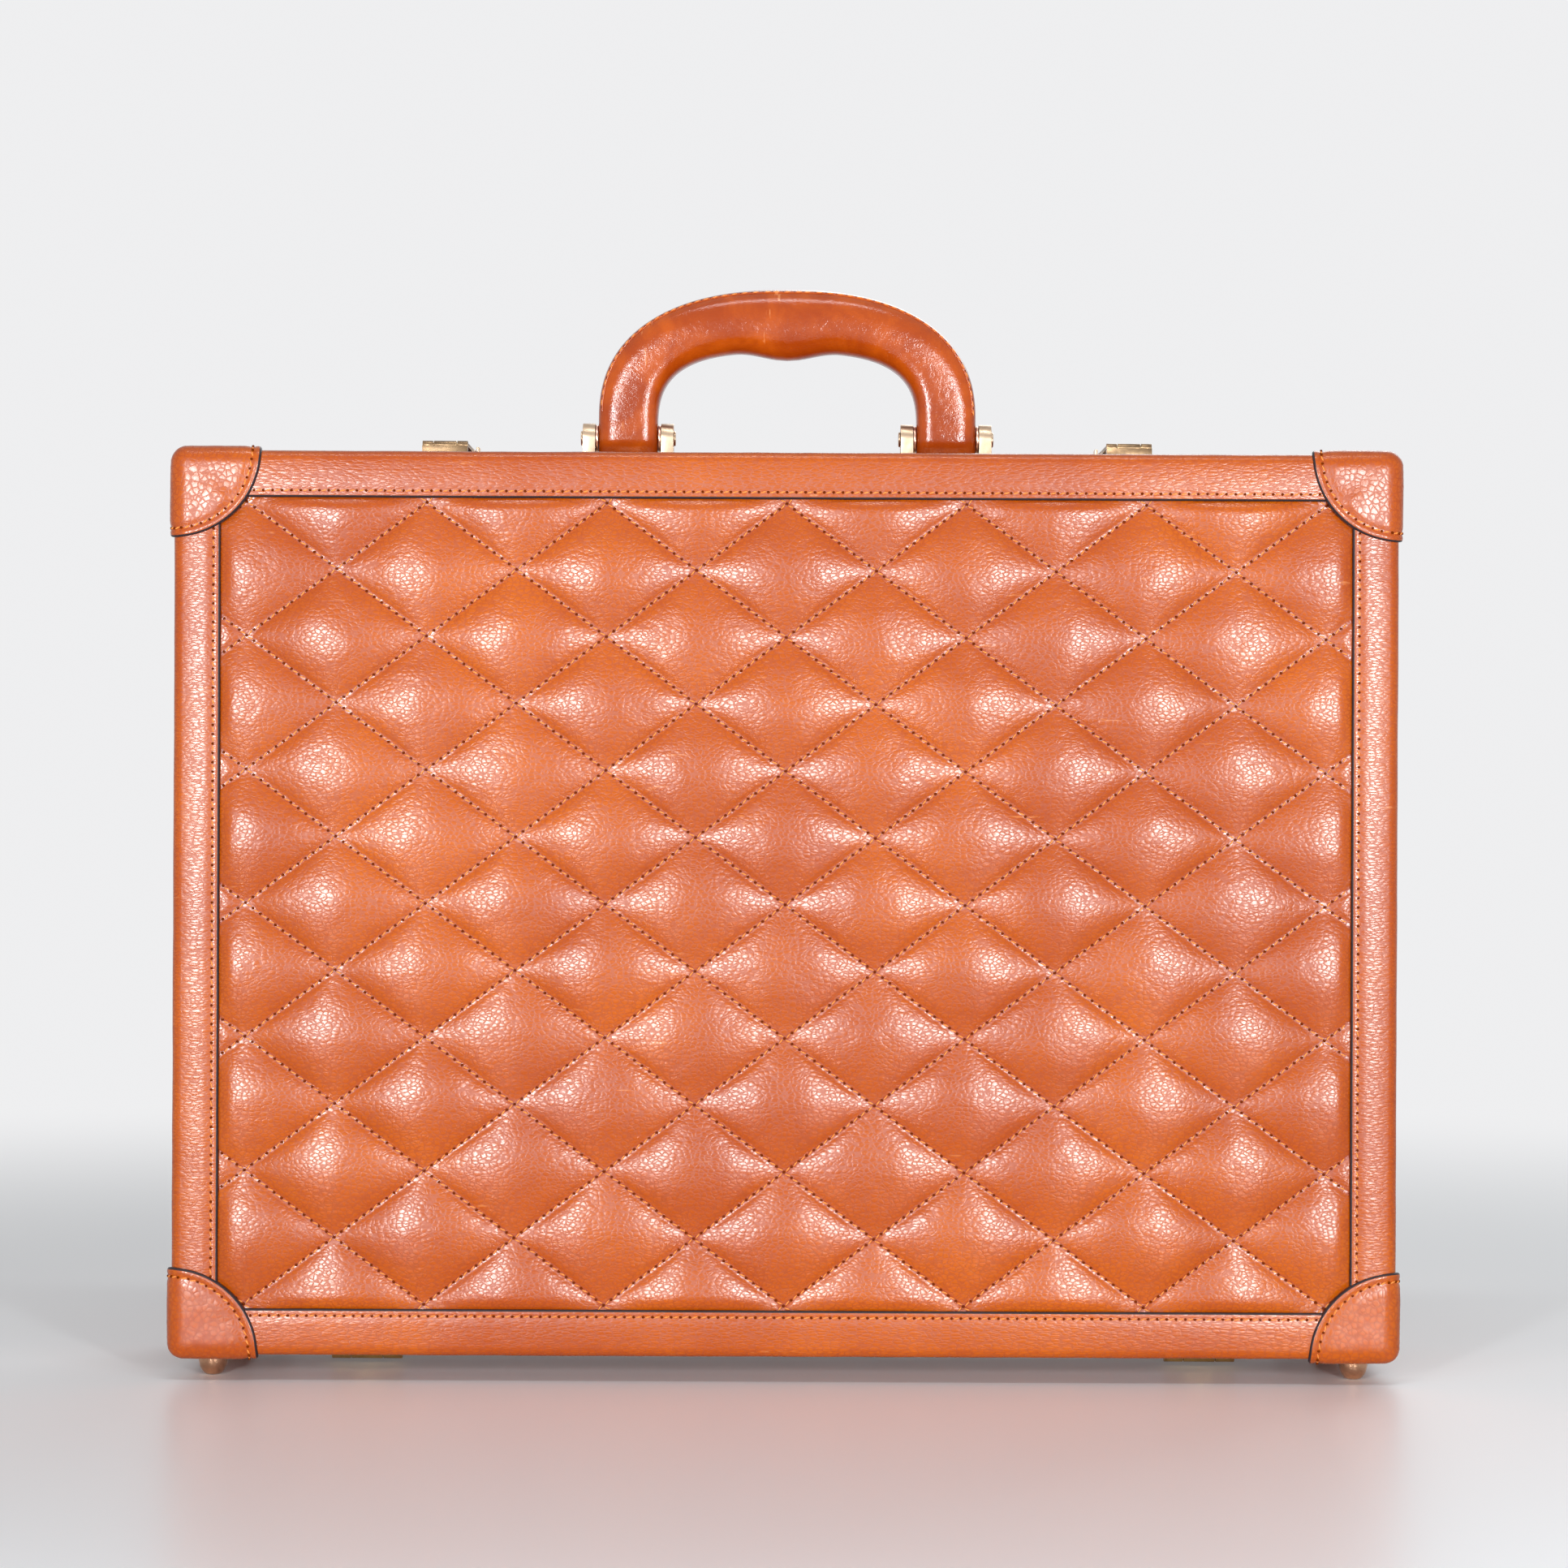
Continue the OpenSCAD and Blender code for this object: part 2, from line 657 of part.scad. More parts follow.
// Lid side of the latch: a plate with a front wall and the two outer knuckles
hasp_front_t = 1;
module hasp_plate(sx) {
    knuckle = (latch_w - hasp_knuckle) / 2 - knuckle_gap;
    front = hasp_barrel_r + move_clear + hasp_front_t;
    back = hasp_screw_y + 5;
    wall_h = hasp_pin_h - 0.4;
    color(brass) difference() {
        translate([sx * latch_x, hasp_y, top_z]) {
            translate([-latch_w / 2, -front, 0]) cube([latch_w, front + back, hasp_web]);
            translate([-latch_w / 2, -front, 0]) cube([latch_w, hasp_front_t, wall_h]);
            for (x = [-latch_w / 2, latch_w / 2 - knuckle]) {
                translate([x, -front, 0]) cube([knuckle, front + hasp_barrel_r, wall_h]);
                x_rod(x, x + knuckle, 0, hasp_pin_h, hasp_barrel_r);
            }
        }
        x_rod(sx * latch_x - latch_w, sx * latch_x + latch_w, hasp_y, hasp_z, hasp_pin_r);
        wall_holes(LID);
    }
}

module hasp_plate_screws() {
    color(brass) for (p = hasp_spots) translate([p[0], p[1], top_z + hasp_web])
        mirror([0, 0, 1]) screw(hasp_web + leather_t + screw_bite);
}

module hasp_pins() {
    color(steel) for (sx = [-1, 1])
        x_rod(sx * latch_x - latch_w / 2, sx * latch_x + latch_w / 2, hasp_y, hasp_z, hasp_pin_r);
}

// Hasp: its own knuckle, a flap over the rim and a tongue that drops into the latch case
module hasp(sx) {
    wide = latch_w - 0.2;
    flap_from = hasp_y + hasp_barrel_r + move_clear;
    flap_to = rim_y + housing_from - move_clear;
    color(brass) translate([sx * latch_x, 0, 0]) difference() {
        union() {
            x_rod(-hasp_knuckle / 2, hasp_knuckle / 2, hasp_y, hasp_z, hasp_barrel_r);
            translate([-hasp_knuckle / 2, hasp_y, flap_z])
                cube([hasp_knuckle, hasp_barrel_r + move_clear + cut, hasp_t]);
            translate([-wide / 2, flap_from, flap_z]) cube([wide, flap_to - flap_from, hasp_t]);
            translate([-tongue_half, rim_y + tongue_from, latch_floor + tongue_lift])
                cube([2 * tongue_half, tongue_to - tongue_from, flap_top - latch_floor - tongue_lift]);
        }
        x_rod(-latch_w / 2, latch_w / 2, hasp_y, hasp_z, hasp_pin_r + pin_clear);
    }
}

// Base side of the latch: a floor, two rails beside the tongue and the lock housing
module latch_case(sx) {
    half = latch_w / 2;
    rail_top = flap_z - 0.4;
    color(brass) difference() {
        beside_handle(sx) {
            translate([-half, case_front, top_z])
                cube([latch_w, housing_to - case_front, latch_plate_t]);
            for (x = [-half, rail_in]) translate([x, case_front, top_z])
                cube([half - rail_in, housing_from - case_front, rail_top - top_z]);
            difference() {
                translate([-half, housing_from, top_z])
                    cube([latch_w, housing_l, flap_top - top_z]);
                translate([-half + housing_wall, housing_from + housing_wall, latch_floor])
                    cube([latch_w - 2 * housing_wall, housing_l - 2 * housing_wall,
                        flap_top - latch_floor - housing_wall]);
                x_rod(0, latch_w, slide_rod_y, slide_rod_z, slide_rod_r + move_clear);
                translate([-block_half - move_clear, housing_from - cut, latch_floor])
                    cube([2 * (block_half + move_clear) + slide_travel, housing_wall + 2 * cut,
                        block_h + 2 * move_clear]);
            }
        }
        wall_holes(BASE);
    }
}

module latch_screws() {
    color(brass) for (p = latch_spots) translate([p[0], p[1], top_z + latch_plate_t])
        mirror([0, 0, 1]) screw(latch_plate_t + leather_t + screw_bite);
}

module thumb_slide(sx) {
    knob_from = latch_w / 2 + move_clear;
    color(brass) beside_handle(sx) {
        translate([-block_half, block_y - nose_l, block_z])
            cube([2 * block_half, nose_l + block_l, block_h]);
        x_rod(0, knob_from + cut, slide_rod_y, slide_rod_z, slide_rod_r);
        translate([knob_from, block_y - 1, block_z]) cube([knob_t, block_l + 2, knob_h]);
    }
}

// Return spring on the slide's rod, as a closed sleeve of its pressed length
module slide_spring(sx) {
    to = latch_w / 2 - housing_wall;
    from = block_half + slide_travel + move_clear / 3;
    color(steel) beside_handle(sx) difference() {
        x_rod(from, to, slide_rod_y, slide_rod_z, spring_r);
        x_rod(from - cut, to + cut, slide_rod_y, slide_rod_z, slide_rod_r + move_clear / 2);
    }
}

// Lid stays: two strips that form a parallelogram with the hinge and the two pivots
arm_x = room_x - lip_t - 2 * move_clear - stay_t;
link_x = arm_x - move_clear - stay_t;
head_t = 0.8;
stay_head_r = stay_pin_r + 1.4;
post_plate_t = 1.2;
base_pivot = [rim_y + stay_base_y, hinge_z + stay_base_z];
lid_pivot = [rim_y - stay_lid_y, hinge_z + stay_lid_z];
elbow = [base_pivot[0] - stay_lid_y, base_pivot[1] + stay_lid_z];

// A strip with round ends between two points of the YZ plane
module strip(from, to, width, thick) {
    run = to - from;
    translate([0, from[0], from[1]]) rotate([atan2(run[1], run[0]), 0, 0]) {
        translate([0, 0, -width / 2]) cube([thick, norm(run), width]);
        for (y = [0, norm(run)]) translate([0, y, 0])
            rotate([0, 90, 0]) cylinder(h = thick, r = width / 2);
    }
}

module pivot_rod(at, from, to, r) {
    translate([from, at[0], at[1]]) rotate([0, 90, 0]) cylinder(h = to - from, r = r);
}

module on_side(sx) {
    mirror([sx < 0 ? 1 : 0, 0, 0]) children();
}

module stay_arm(sx) {
    color(brass) on_side(sx) difference() {
        union() {
            translate([arm_x, 0, 0]) strip(base_pivot, elbow, stay_w, stay_t);
            pivot_rod(elbow, link_x - move_clear / 2, arm_x + cut, stay_pin_r);
            pivot_rod(elbow, link_x - move_clear / 2 - head_t, link_x - move_clear / 2, stay_head_r);
        }
        pivot_rod(base_pivot, arm_x - cut, arm_x + stay_t + cut, stay_pin_r + pin_clear);
    }
}

module stay_link(sx) {
    color(brass) on_side(sx) difference() {
        translate([link_x, 0, 0]) strip(elbow, lid_pivot, stay_w, stay_t);
        pivot_rod(elbow, link_x - cut, link_x + stay_t + cut, stay_pin_r + pin_clear);
        pivot_rod(lid_pivot, link_x - cut, link_x + stay_t + cut, stay_pin_r + move_clear);
    }
}

// Pivot posts on the side walls, each on a round plate and with a head
module stay_posts(at, strip_x) {
    head_x = strip_x - move_clear / 2;
    color(brass) for (sx = [-1, 1]) on_side(sx) {
        pivot_rod(at, head_x - head_t, head_x, stay_head_r);
        pivot_rod(at, head_x, room_x, stay_pin_r);
        pivot_rod(at, room_x - post_plate_t, room_x, stay_w / 2 + 1);
    }
}

// Document pocket sewn to the lid lining, open at the top
module lid_pocket() {
    low = -room_z + 18;
    color(dark_leather) in_half(LID) difference() {
        translate([-pocket_w / 2, floor_d, low]) cube([pocket_w, pocket_room + pocket_t, pocket_h]);
        translate([-pocket_w / 2 + pocket_t, floor_d - cut, low + pocket_t])
            cube([pocket_w - 2 * pocket_t, pocket_room + cut, pocket_h]);
    }
}

frame(BASE);  // base_frame
panel(BASE);  // base_panel
quilt(BASE);  // base_quilt
border(BASE);  // base_border
lining(BASE);  // base_lining
base_lip();
cap(BASE, -1, 1);  // base_cap_top_left
cap(BASE, 1, 1);  // base_cap_top_right
cap(BASE, -1, -1);  // base_cap_bottom_left
cap(BASE, 1, -1);  // base_cap_bottom_right
feet(BASE);  // base_feet
hinge_leaf(BASE, -1);  // base_hinge_left
hinge_leaf(BASE, 1);  // base_hinge_right
hinge_screws(BASE);  // base_hinge_screws
hinge_pins();
handle_bracket(-1);  // handle_bracket_left
handle_bracket(1);  // handle_bracket_right
bracket_screws();
handle_pins();
latch_case(-1);  // latch_case_left
latch_case(1);  // latch_case_right
latch_screws();
stay_posts(base_pivot, arm_x);  // base_stay_posts
frame(LID);  // lid_frame
panel(LID);  // lid_panel
quilt(LID);  // lid_quilt
border(LID);  // lid_border
lining(LID);  // lid_lining
lid_pocket();
cap(LID, -1, 1);  // lid_cap_top_left
cap(LID, 1, 1);  // lid_cap_top_right
cap(LID, -1, -1);  // lid_cap_bottom_left
cap(LID, 1, -1);  // lid_cap_bottom_right
feet(LID);  // lid_feet
hinge_leaf(LID, -1);  // lid_hinge_left
hinge_leaf(LID, 1);  // lid_hinge_right
hinge_screws(LID);  // lid_hinge_screws
hasp_plate(-1);  // hasp_plate_left
hasp_plate(1);  // hasp_plate_right
hasp_plate_screws();
hasp_pins();
stay_posts(lid_pivot, link_x);  // lid_stay_posts
handle_core();
handle_leather();
handle_washers();
hasp(-1);  // hasp_left
hasp(1);  // hasp_right
thumb_slide(-1);  // thumb_slide_left
thumb_slide(1);  // thumb_slide_right
slide_spring(-1);  // slide_spring_left
slide_spring(1);  // slide_spring_right
stay_arm(-1);  // stay_arm_left
stay_arm(1);  // stay_arm_right
stay_link(-1);  // stay_link_left
stay_link(1);  // stay_link_right
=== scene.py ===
# Attache case in quilted orange leather, with a stitched handle and brass hardware.
# X runs along the width, Y from the lid to the base and Z up, in metres. The lid's face is
# towards -Y. Each section makes one piece or group of like pieces.
import json
import math

import bmesh
import bpy
from mathutils import Matrix, Vector, noise

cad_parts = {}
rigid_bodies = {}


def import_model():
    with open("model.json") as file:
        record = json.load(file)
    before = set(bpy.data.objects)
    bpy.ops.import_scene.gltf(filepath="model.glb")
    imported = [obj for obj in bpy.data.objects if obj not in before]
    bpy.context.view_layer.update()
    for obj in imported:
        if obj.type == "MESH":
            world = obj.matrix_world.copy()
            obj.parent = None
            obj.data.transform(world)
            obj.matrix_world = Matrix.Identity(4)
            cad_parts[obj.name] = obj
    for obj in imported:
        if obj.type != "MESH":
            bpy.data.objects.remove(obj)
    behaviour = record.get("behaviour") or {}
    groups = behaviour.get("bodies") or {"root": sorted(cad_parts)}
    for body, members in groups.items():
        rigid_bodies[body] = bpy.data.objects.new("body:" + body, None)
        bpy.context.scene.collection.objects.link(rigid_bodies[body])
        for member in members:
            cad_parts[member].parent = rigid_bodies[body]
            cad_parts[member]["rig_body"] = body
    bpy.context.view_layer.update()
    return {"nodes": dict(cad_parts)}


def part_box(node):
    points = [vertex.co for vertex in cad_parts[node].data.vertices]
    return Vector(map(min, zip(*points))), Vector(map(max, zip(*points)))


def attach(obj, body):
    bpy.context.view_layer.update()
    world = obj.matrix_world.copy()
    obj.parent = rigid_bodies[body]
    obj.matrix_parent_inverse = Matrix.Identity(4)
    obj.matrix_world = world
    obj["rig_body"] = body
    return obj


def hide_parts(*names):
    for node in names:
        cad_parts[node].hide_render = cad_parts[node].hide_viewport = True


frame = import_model()

# Camera
# It stands 1.5 m in front of the lid, level, with its middle 215 mm above the table, and is
# rolled by a quarter of a degree. A 96 mm lens takes in 562 mm of the lid's plane.
MM = 0.001
face_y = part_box("lid_border")[0].y
camera = bpy.data.objects.new("camera", bpy.data.cameras.new("camera"))
bpy.context.scene.collection.objects.link(camera)
bpy.context.scene.camera = camera
camera.data.sensor_width = 36
camera.data.lens = 96.03
camera_gap = 1.5
camera.location = (-0.6 * MM, face_y - camera_gap, 215 * MM)
camera.rotation_euler = (math.radians(90), math.radians(-0.25), 0)
bpy.context.scene.view_settings.view_transform = "Standard"

# Studio light
# Two small softboxes stand beside the camera, left and right, a narrow one hangs over the
# case and a large one stands far behind it. The pale surroundings light the rest.


def softbox(name, place, aim, width, height, watts):
    lamp = bpy.data.lights.new(name, "AREA")
    lamp.shape = "RECTANGLE"
    lamp.size = width
    lamp.size_y = height
    lamp.energy = watts
    lamp.color = (0.93, 0.98, 1.0)
    holder = bpy.data.objects.new(name, lamp)
    bpy.context.scene.collection.objects.link(holder)
    holder.location = place
    holder.rotation_euler = (Vector(aim) - Vector(place)).to_track_quat("-Z", "Y").to_euler()


for side, name in ((-1, "left"), (1, "right")):
    softbox("softbox_" + name, (side * 0.455, face_y - 1.45, 0.27), (0, 0, 0.25),
            0.1, 0.42, 14.2)
softbox("softbox_top", (0, -0.55, 1.5), (0, 0, 0.2), 0.7, 0.16, 4.5)
softbox("softbox_back", (0.8, 2.2, 1.7), (0, 0, 0.15), 1.8, 1.4, 22)

# Floor
# A wide pale floor, painted with a faint sheen. It fades into the surroundings far from the
# case, so no edge shows behind it.


class Shade:
    """An output of a node in a material; sums, differences and products add Math nodes."""

    def __init__(self, tree, socket=None):
        self.tree = tree
        self.socket = socket

    def node(self, kind, settings, sockets, output=0):
        made = self.tree.nodes.new("ShaderNode" + kind)
        for name, value in settings.items():
            setattr(made, name, value)
        for name, value in sockets.items():
            if isinstance(value, Shade):
                self.tree.links.new(value.socket, made.inputs[name])
            else:
                made.inputs[name].default_value = value
        return Shade(self.tree, made.outputs[output])

    def maths(self, operation, first, second=0.0):
        return self.node("Math", {"operation": operation}, {0: first, 1: second})

    def __add__(self, other):
        return self.maths("ADD", self, other)

    __radd__ = __add__

    def __mul__(self, other):
        return self.maths("MULTIPLY", self, other)

    __rmul__ = __mul__

    def __sub__(self, other):
        return self.maths("SUBTRACT", self, other)

    def __rsub__(self, other):
        return self.maths("SUBTRACT", other, self)

    def ramp(self, low, high):
        """0 at low, 1 at high and smooth between."""
        return self.node("MapRange", {"interpolation_type": "SMOOTHSTEP"},
                         {"Value": self, "From Min": low, "From Max": high})

    def tint(self, first, second):
        """Mixes two colours by this mask."""
        return self.node("Mix", {"data_type": "RGBA"}, {0: self, 6: first, 7: second}, 2)

    def cloud(self, scale, detail=2.0, rough=0.5, warp=0.0):
        return self.node("TexNoise", {}, {"Vector": self, "Scale": scale, "Detail": detail,
                                          "Roughness": rough, "Distortion": warp})

    def cells(self, scale, feature="F1"):
        return self.node("TexVoronoi", {"feature": feature}, {"Vector": self, "Scale": scale})

    def stretched(self, scale, turn=(0, 0, 0)):
        return self.node("Mapping", {}, {"Vector": self, "Scale": scale, "Rotation": turn})

    def axis(self, name):
        return self.node("SeparateXYZ", {}, {0: self}, name)


def new_material(name):
    """A material, its Object coordinates as a Shade, and its Principled shader."""
    material = bpy.data.materials.new(name)
    material.use_nodes = True
    tree = material.node_tree
    place = Shade(tree).node("TexCoord", {}, {}, "Object")
    return material, place, tree.nodes["Principled BSDF"]


def finish_material(material, shader, colour, rough, height=None, **fixed):
    """Plugs in colour, roughness and a bump height in mm, and sets the other sockets."""
    tree = material.node_tree
    for socket, value in (("Base Color", colour), ("Roughness", rough)):
        if isinstance(value, Shade):
            tree.links.new(value.socket, shader.inputs[socket])
        else:
            shader.inputs[socket].default_value = value
    if height:
        normal = height.node("Bump", {}, {"Strength": 1.0, "Distance": MM, "Height": height})
        tree.links.new(normal.socket, shader.inputs["Normal"])
    for socket, value in fixed.items():
        shader.inputs[socket.replace("_", " ")].default_value = value
    return material


pale = (0.86, 0.86, 0.87, 1)
world = bpy.data.worlds.new("surroundings")
bpy.context.scene.world = world
world.use_nodes = True
sky = Shade(world.node_tree)
seen = sky.node("LightPath", {}, {}, "Is Camera Ray")
mirrored = sky.node("LightPath", {}, {}, "Is Glossy Ray")
through = sky.node("LightPath", {}, {}, "Is Transmission Ray")
backdrop = world.node_tree.nodes["Background"]
backdrop.inputs["Color"].default_value = pale
strength = 0.15 + 0.85 * (seen + mirrored + through)
world.node_tree.links.new(strength.socket, backdrop.inputs["Strength"])

floor_bm = bmesh.new()
bmesh.ops.create_circle(floor_bm, cap_ends=True, segments=96, radius=14)
floor_mesh = bpy.data.meshes.new("floor")
floor_bm.to_mesh(floor_mesh)
floor_bm.free()
floor = bpy.data.objects.new("floor", floor_mesh)
bpy.context.scene.collection.objects.link(floor)
floor_paint, place, shader = new_material("floor_paint")
tree = floor_paint.node_tree
shader.inputs["Base Color"].default_value = (0.93, 0.93, 0.94, 1)
shader.inputs["Roughness"].default_value = 0.34
shader.inputs["Specular IOR Level"].default_value = 0.3
glow = place.node("Emission", {}, {"Color": pale, "Strength": 1.0})
far = place.node("VectorMath", {"operation": "LENGTH"}, {0: place}, "Value").ramp(0.4, 1.3)
fade = place.node("MixShader", {}, {0: far, 1: Shade(tree, shader.outputs[0]), 2: glow})
tree.links.new(fade.socket, tree.nodes["Material Output"].inputs["Surface"])
floor_mesh.materials.append(floor_paint)

# Quilted faces
# Orange calf leather over foam, sewn to a backing along two sets of slanting lines and tucked
# under the border strips. The foam swells every diamond between the seams.
lid_low, lid_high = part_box("lid_border")
base_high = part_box("base_border")[1]
mid_z = (lid_low.z + lid_high.z) / 2
half_w = (lid_high.x - lid_low.x) / 2
half_h = (lid_high.z - lid_low.z) / 2
border_w = 16.4 * MM
window_x = half_w - border_w
window_z = half_h - border_w
quilt_seat = 3 * MM
quarter_x = 64.6 * MM / 4
quarter_z = 48 * MM / 4
seam_step = math.hypot(quarter_x, quarter_z) / 2
seam_gap = quarter_x * quarter_z / math.hypot(quarter_x, quarter_z)
valley = 1.0 * MM
crown = 4.3 * MM
tucked = 1.4 * MM
held_w = 5 * MM
hidden_w = 3 * MM
stitch_pitch = 3.353 * MM
HALVES = {"lid": (lid_low.y, 1), "base": (base_high.y, -1)}


def orange_leather(name, crease=(1, 1, 1.6), deep=1.0, polish=0.2, sewn=False):
    """Waxed calf leather: mottled dye, pebbled grain and fine creases, with painted shade
    darkening the crack lines and, when sewn, the seam grooves; heights are in mm.
    """
    material, place, shader = new_material(name)
    clouds = place.cloud(14, 3, 0.6)
    blotches = place.cloud(75, 4, 0.65, 0.6)
    leather_colour = clouds.ramp(0.32, 0.72).tint((0.40, 0.062, 0.001, 1), (0.54, 0.107, 0.001, 1))
    leather_colour = (blotches.ramp(0.30, 0.75) * 0.5).tint(leather_colour, (0.44, 0.071, 0.001, 1))
    drawn = place.stretched(crease)
    bent = drawn.node("VectorMath", {"operation": "ADD"}, {
        0: drawn, 1: drawn.node("VectorMath", {"operation": "SCALE"}, {
            0: drawn.node("TexNoise", {}, {"Vector": drawn, "Scale": 420.0}, 1),
            "Scale": 1.1 * MM})})
    pebble_count = 470
    cracks_and_shade = bent.cells(pebble_count, "DISTANCE_TO_EDGE").ramp(0.17, 0.02)
    pores = place.cells(900).ramp(0.25, 0.05)
    folds = drawn.cloud(190, 2, 0.5, 0.8)
    pebbles = bent.cells(pebble_count).ramp(0.75, 0.1)
    height = folds * (0.07 * deep) + pebbles * (0.028 * deep) - cracks_and_shade * (0.014 * deep)
    # The crack lines between pebbles are painted darker: painted shade of the creases.
    leather_colour = (cracks_and_shade * 0.45).tint(leather_colour, (0.28, 0.030, 0.001, 1))
    leather_colour = (pores * 0.35).tint(leather_colour, (0.66, 0.17, 0.02, 1))
    scuffs = place.stretched((1, 1, 7), (0, 0.7, 0)).cloud(34, 4, 0.75).ramp(0.66, 0.72)
    leather_colour = (scuffs * 0.45).tint(leather_colour, (0.74, 0.27, 0.09, 1))
    matt = polish + 0.06 * blotches + 0.16 * cracks_and_shade
    if sewn:
        across_x = place.axis("X") * (1 / quarter_x)
        across_z = (place.axis("Z") - mid_z) * (1 / quarter_z)
        first = across_x - across_z
        second = across_x + across_z
        groove_shade_w, pucker_w = 1.2, 2.6
        for seam, run in ((first, second), (second, first)):
            off = seam.maths("PINGPONG", seam, 2.0) * (seam_gap / MM)
            pull = run * (math.tau * seam_step / stitch_pitch)
            height = height + off.ramp(pucker_w, 0.4) * pull.maths("COSINE", pull) * 0.010
            # The seam grooves are painted darker: painted shade where the leather dips into each
            # seam.
            leather_colour = (off.ramp(groove_shade_w, 0.2) * 0.6).tint(leather_colour, (0.28, 0.022, 0.002, 1))
    return finish_material(material, shader, leather_colour, matt, height, Specular_IOR_Level=0.46)


def into_half(bm, half):
    """Moves a mesh with its face at Y = 0 and its depth along Y to one half of the case."""
    at_y, turn = HALVES[half]
    bmesh.ops.scale(bm, vec=(1, turn, 1), verts=bm.verts)
    bmesh.ops.translate(bm, vec=(0, at_y, mid_z), verts=bm.verts)
    bmesh.ops.recalc_face_normals(bm, faces=bm.faces)


def new_piece(name, bm, materials, body, slot, *replaced):
    """An object made of a bmesh, which is freed, on one body; it may stand for CAD nodes."""
    mesh = bpy.data.meshes.new(name)
    bm.to_mesh(mesh)
    bm.free()
    mesh.shade_smooth()
    for material in materials:
        mesh.materials.append(material)
    piece = bpy.data.objects.new(name, mesh)
    bpy.context.scene.collection.objects.link(piece)
    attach(piece, body)
    if replaced:
        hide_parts(*replaced)
    return piece


def puff(part):
    """Share of the full swell, for a share of the way from a seam to the middle."""
    return (1 - (1 - part) ** 2) ** 0.7


def quilt_rise(x, z):
    """Height of the leather over the panel, with each diamond's own fill, slight waves and folds.
    """
    first = x / quarter_x - z / quarter_z
    second = x / quarter_x + z / quarter_z
    part_a = abs(first - 4 * round(first / 4)) / 2
    part_b = abs(second - 4 * round(second / 4)) / 2
    cell = Vector((math.floor(first / 4), math.floor(second / 4), 7))
    fill = 0.92 + 0.16 * noise.cell(cell)
    spot = Vector((x, z, 0)) / MM
    swell = puff(part_a) * puff(part_b)
    rise = valley + (crown - valley) * swell * fill
    rise += swell * (0.22 * noise.noise(spot / 12) + 0.07 * noise.noise(spot / 4.3)) * MM
    for part, run in ((part_a, second), (part_b, first)):
        off = part * 2 * seam_gap / MM
        pull = math.exp(-off / 5) * min(1, off / 1.5)
        fold = noise.noise(Vector((run * seam_step / MM / 3.4, off / 16, cell.x + 3 * cell.y)))
        rise += 0.16 * pull * fold * MM
    inside = min(window_x - abs(x), window_z - abs(z)) / held_w
    hold = 1 - (1 - max(0, min(1, inside))) ** 2
    return tucked + (rise - tucked) * hold if rise > tucked else rise


quilt_leather = orange_leather("quilt_leather", sewn=True)
divisions = 28
grid_reach = 26
for half in HALVES:
    quilt = bmesh.new()
    lines = grid_reach * divisions // 2
    bmesh.ops.create_grid(quilt, x_segments=lines, y_segments=lines, size=grid_reach)
    slant = Matrix(((quarter_x / 2, quarter_x / 2, 0, 0), (0, 0, 1, 0),
                    (-quarter_z / 2, quarter_z / 2, 0, 0), (0, 0, 0, 1)))
    bmesh.ops.transform(quilt, matrix=slant, verts=quilt.verts)
    for axis, reach in ((0, window_x + hidden_w), (2, window_z + hidden_w)):
        for sign in (-1, 1):
            plane = Vector((0, 0, 0))
            plane[axis] = sign
            bmesh.ops.bisect_plane(quilt, geom=quilt.verts[:] + quilt.edges[:] + quilt.faces[:],
                                   dist=1e-7, plane_co=plane * reach, plane_no=plane,
                                   clear_outer=True)
    for vert in quilt.verts:
        vert.co.y = quilt_seat - quilt_rise(vert.co.x, vert.co.z)
    rim = [edge for edge in quilt.edges if edge.is_boundary]
    skirt = bmesh.ops.extrude_edge_only(quilt, edges=rim)["geom"]
    for vert in skirt:
        if isinstance(vert, bmesh.types.BMVert):
            vert.co.y = quilt_seat
    bmesh.ops.holes_fill(quilt, edges=[edge for edge in quilt.edges if edge.is_boundary])
    into_half(quilt, half)
    cushion = new_piece(half + "_quilt_leather", quilt, [quilt_leather], half, "leather",
                        half + "_quilt")

# Quilt stitches
# Light orange linen thread along every seam of the quilting. Each stitch slants a little and
# dives into an awl hole at its end, shown as a dark disc of painted shade.


def bead(name, rings, slot):
    """A small closed ball to be drawn out into a stitch or pressed into a hole."""
    ball = bmesh.new()
    bmesh.ops.create_uvsphere(ball, u_segments=6, v_segments=rings, radius=1)
    for face in ball.faces:
        face.material_index = slot
    mesh = bpy.data.meshes.new(name)
    ball.to_mesh(mesh)
    ball.free()
    return mesh


stitch_half = 1.24 * MM
stitch_shape = bead("stitch_shape", 5, 0)
hole_shape = bead("hole_shape", 3, 1)


def stitched(rows, name, body, thread_r=0.3 * MM, hole_r=0.6 * MM, slant=15):
    """Threads and holes for rows of (middle of the stitch, way along it, way up)."""
    lean = math.radians(slant)
    strands = []
    for row in rows:
        strand = bmesh.new()
        for middle, along, up in row:
            along = along.normalized()
            tilted = along * math.cos(lean) + up.cross(along).normalized() * math.sin(lean)
            across = up.cross(tilted)
            for shape, centre, size in (
                    (stitch_shape, middle, (stitch_half, thread_r, thread_r)),
                    (hole_shape, middle - along * (stitch_pitch / 2),
                     (hole_r, hole_r, hole_r * 0.5))):
                basis = Matrix((tilted * size[0], across * size[1],
                                up * size[2])).transposed().to_4x4()
                basis.translation = centre
                copy = shape.copy()
                copy.transform(basis)
                strand.from_mesh(copy)
                bpy.data.meshes.remove(copy)
        strands.append(strand)
    return new_piece(name, joined(strands), [thread, awl_hole_shade], body, "leather")


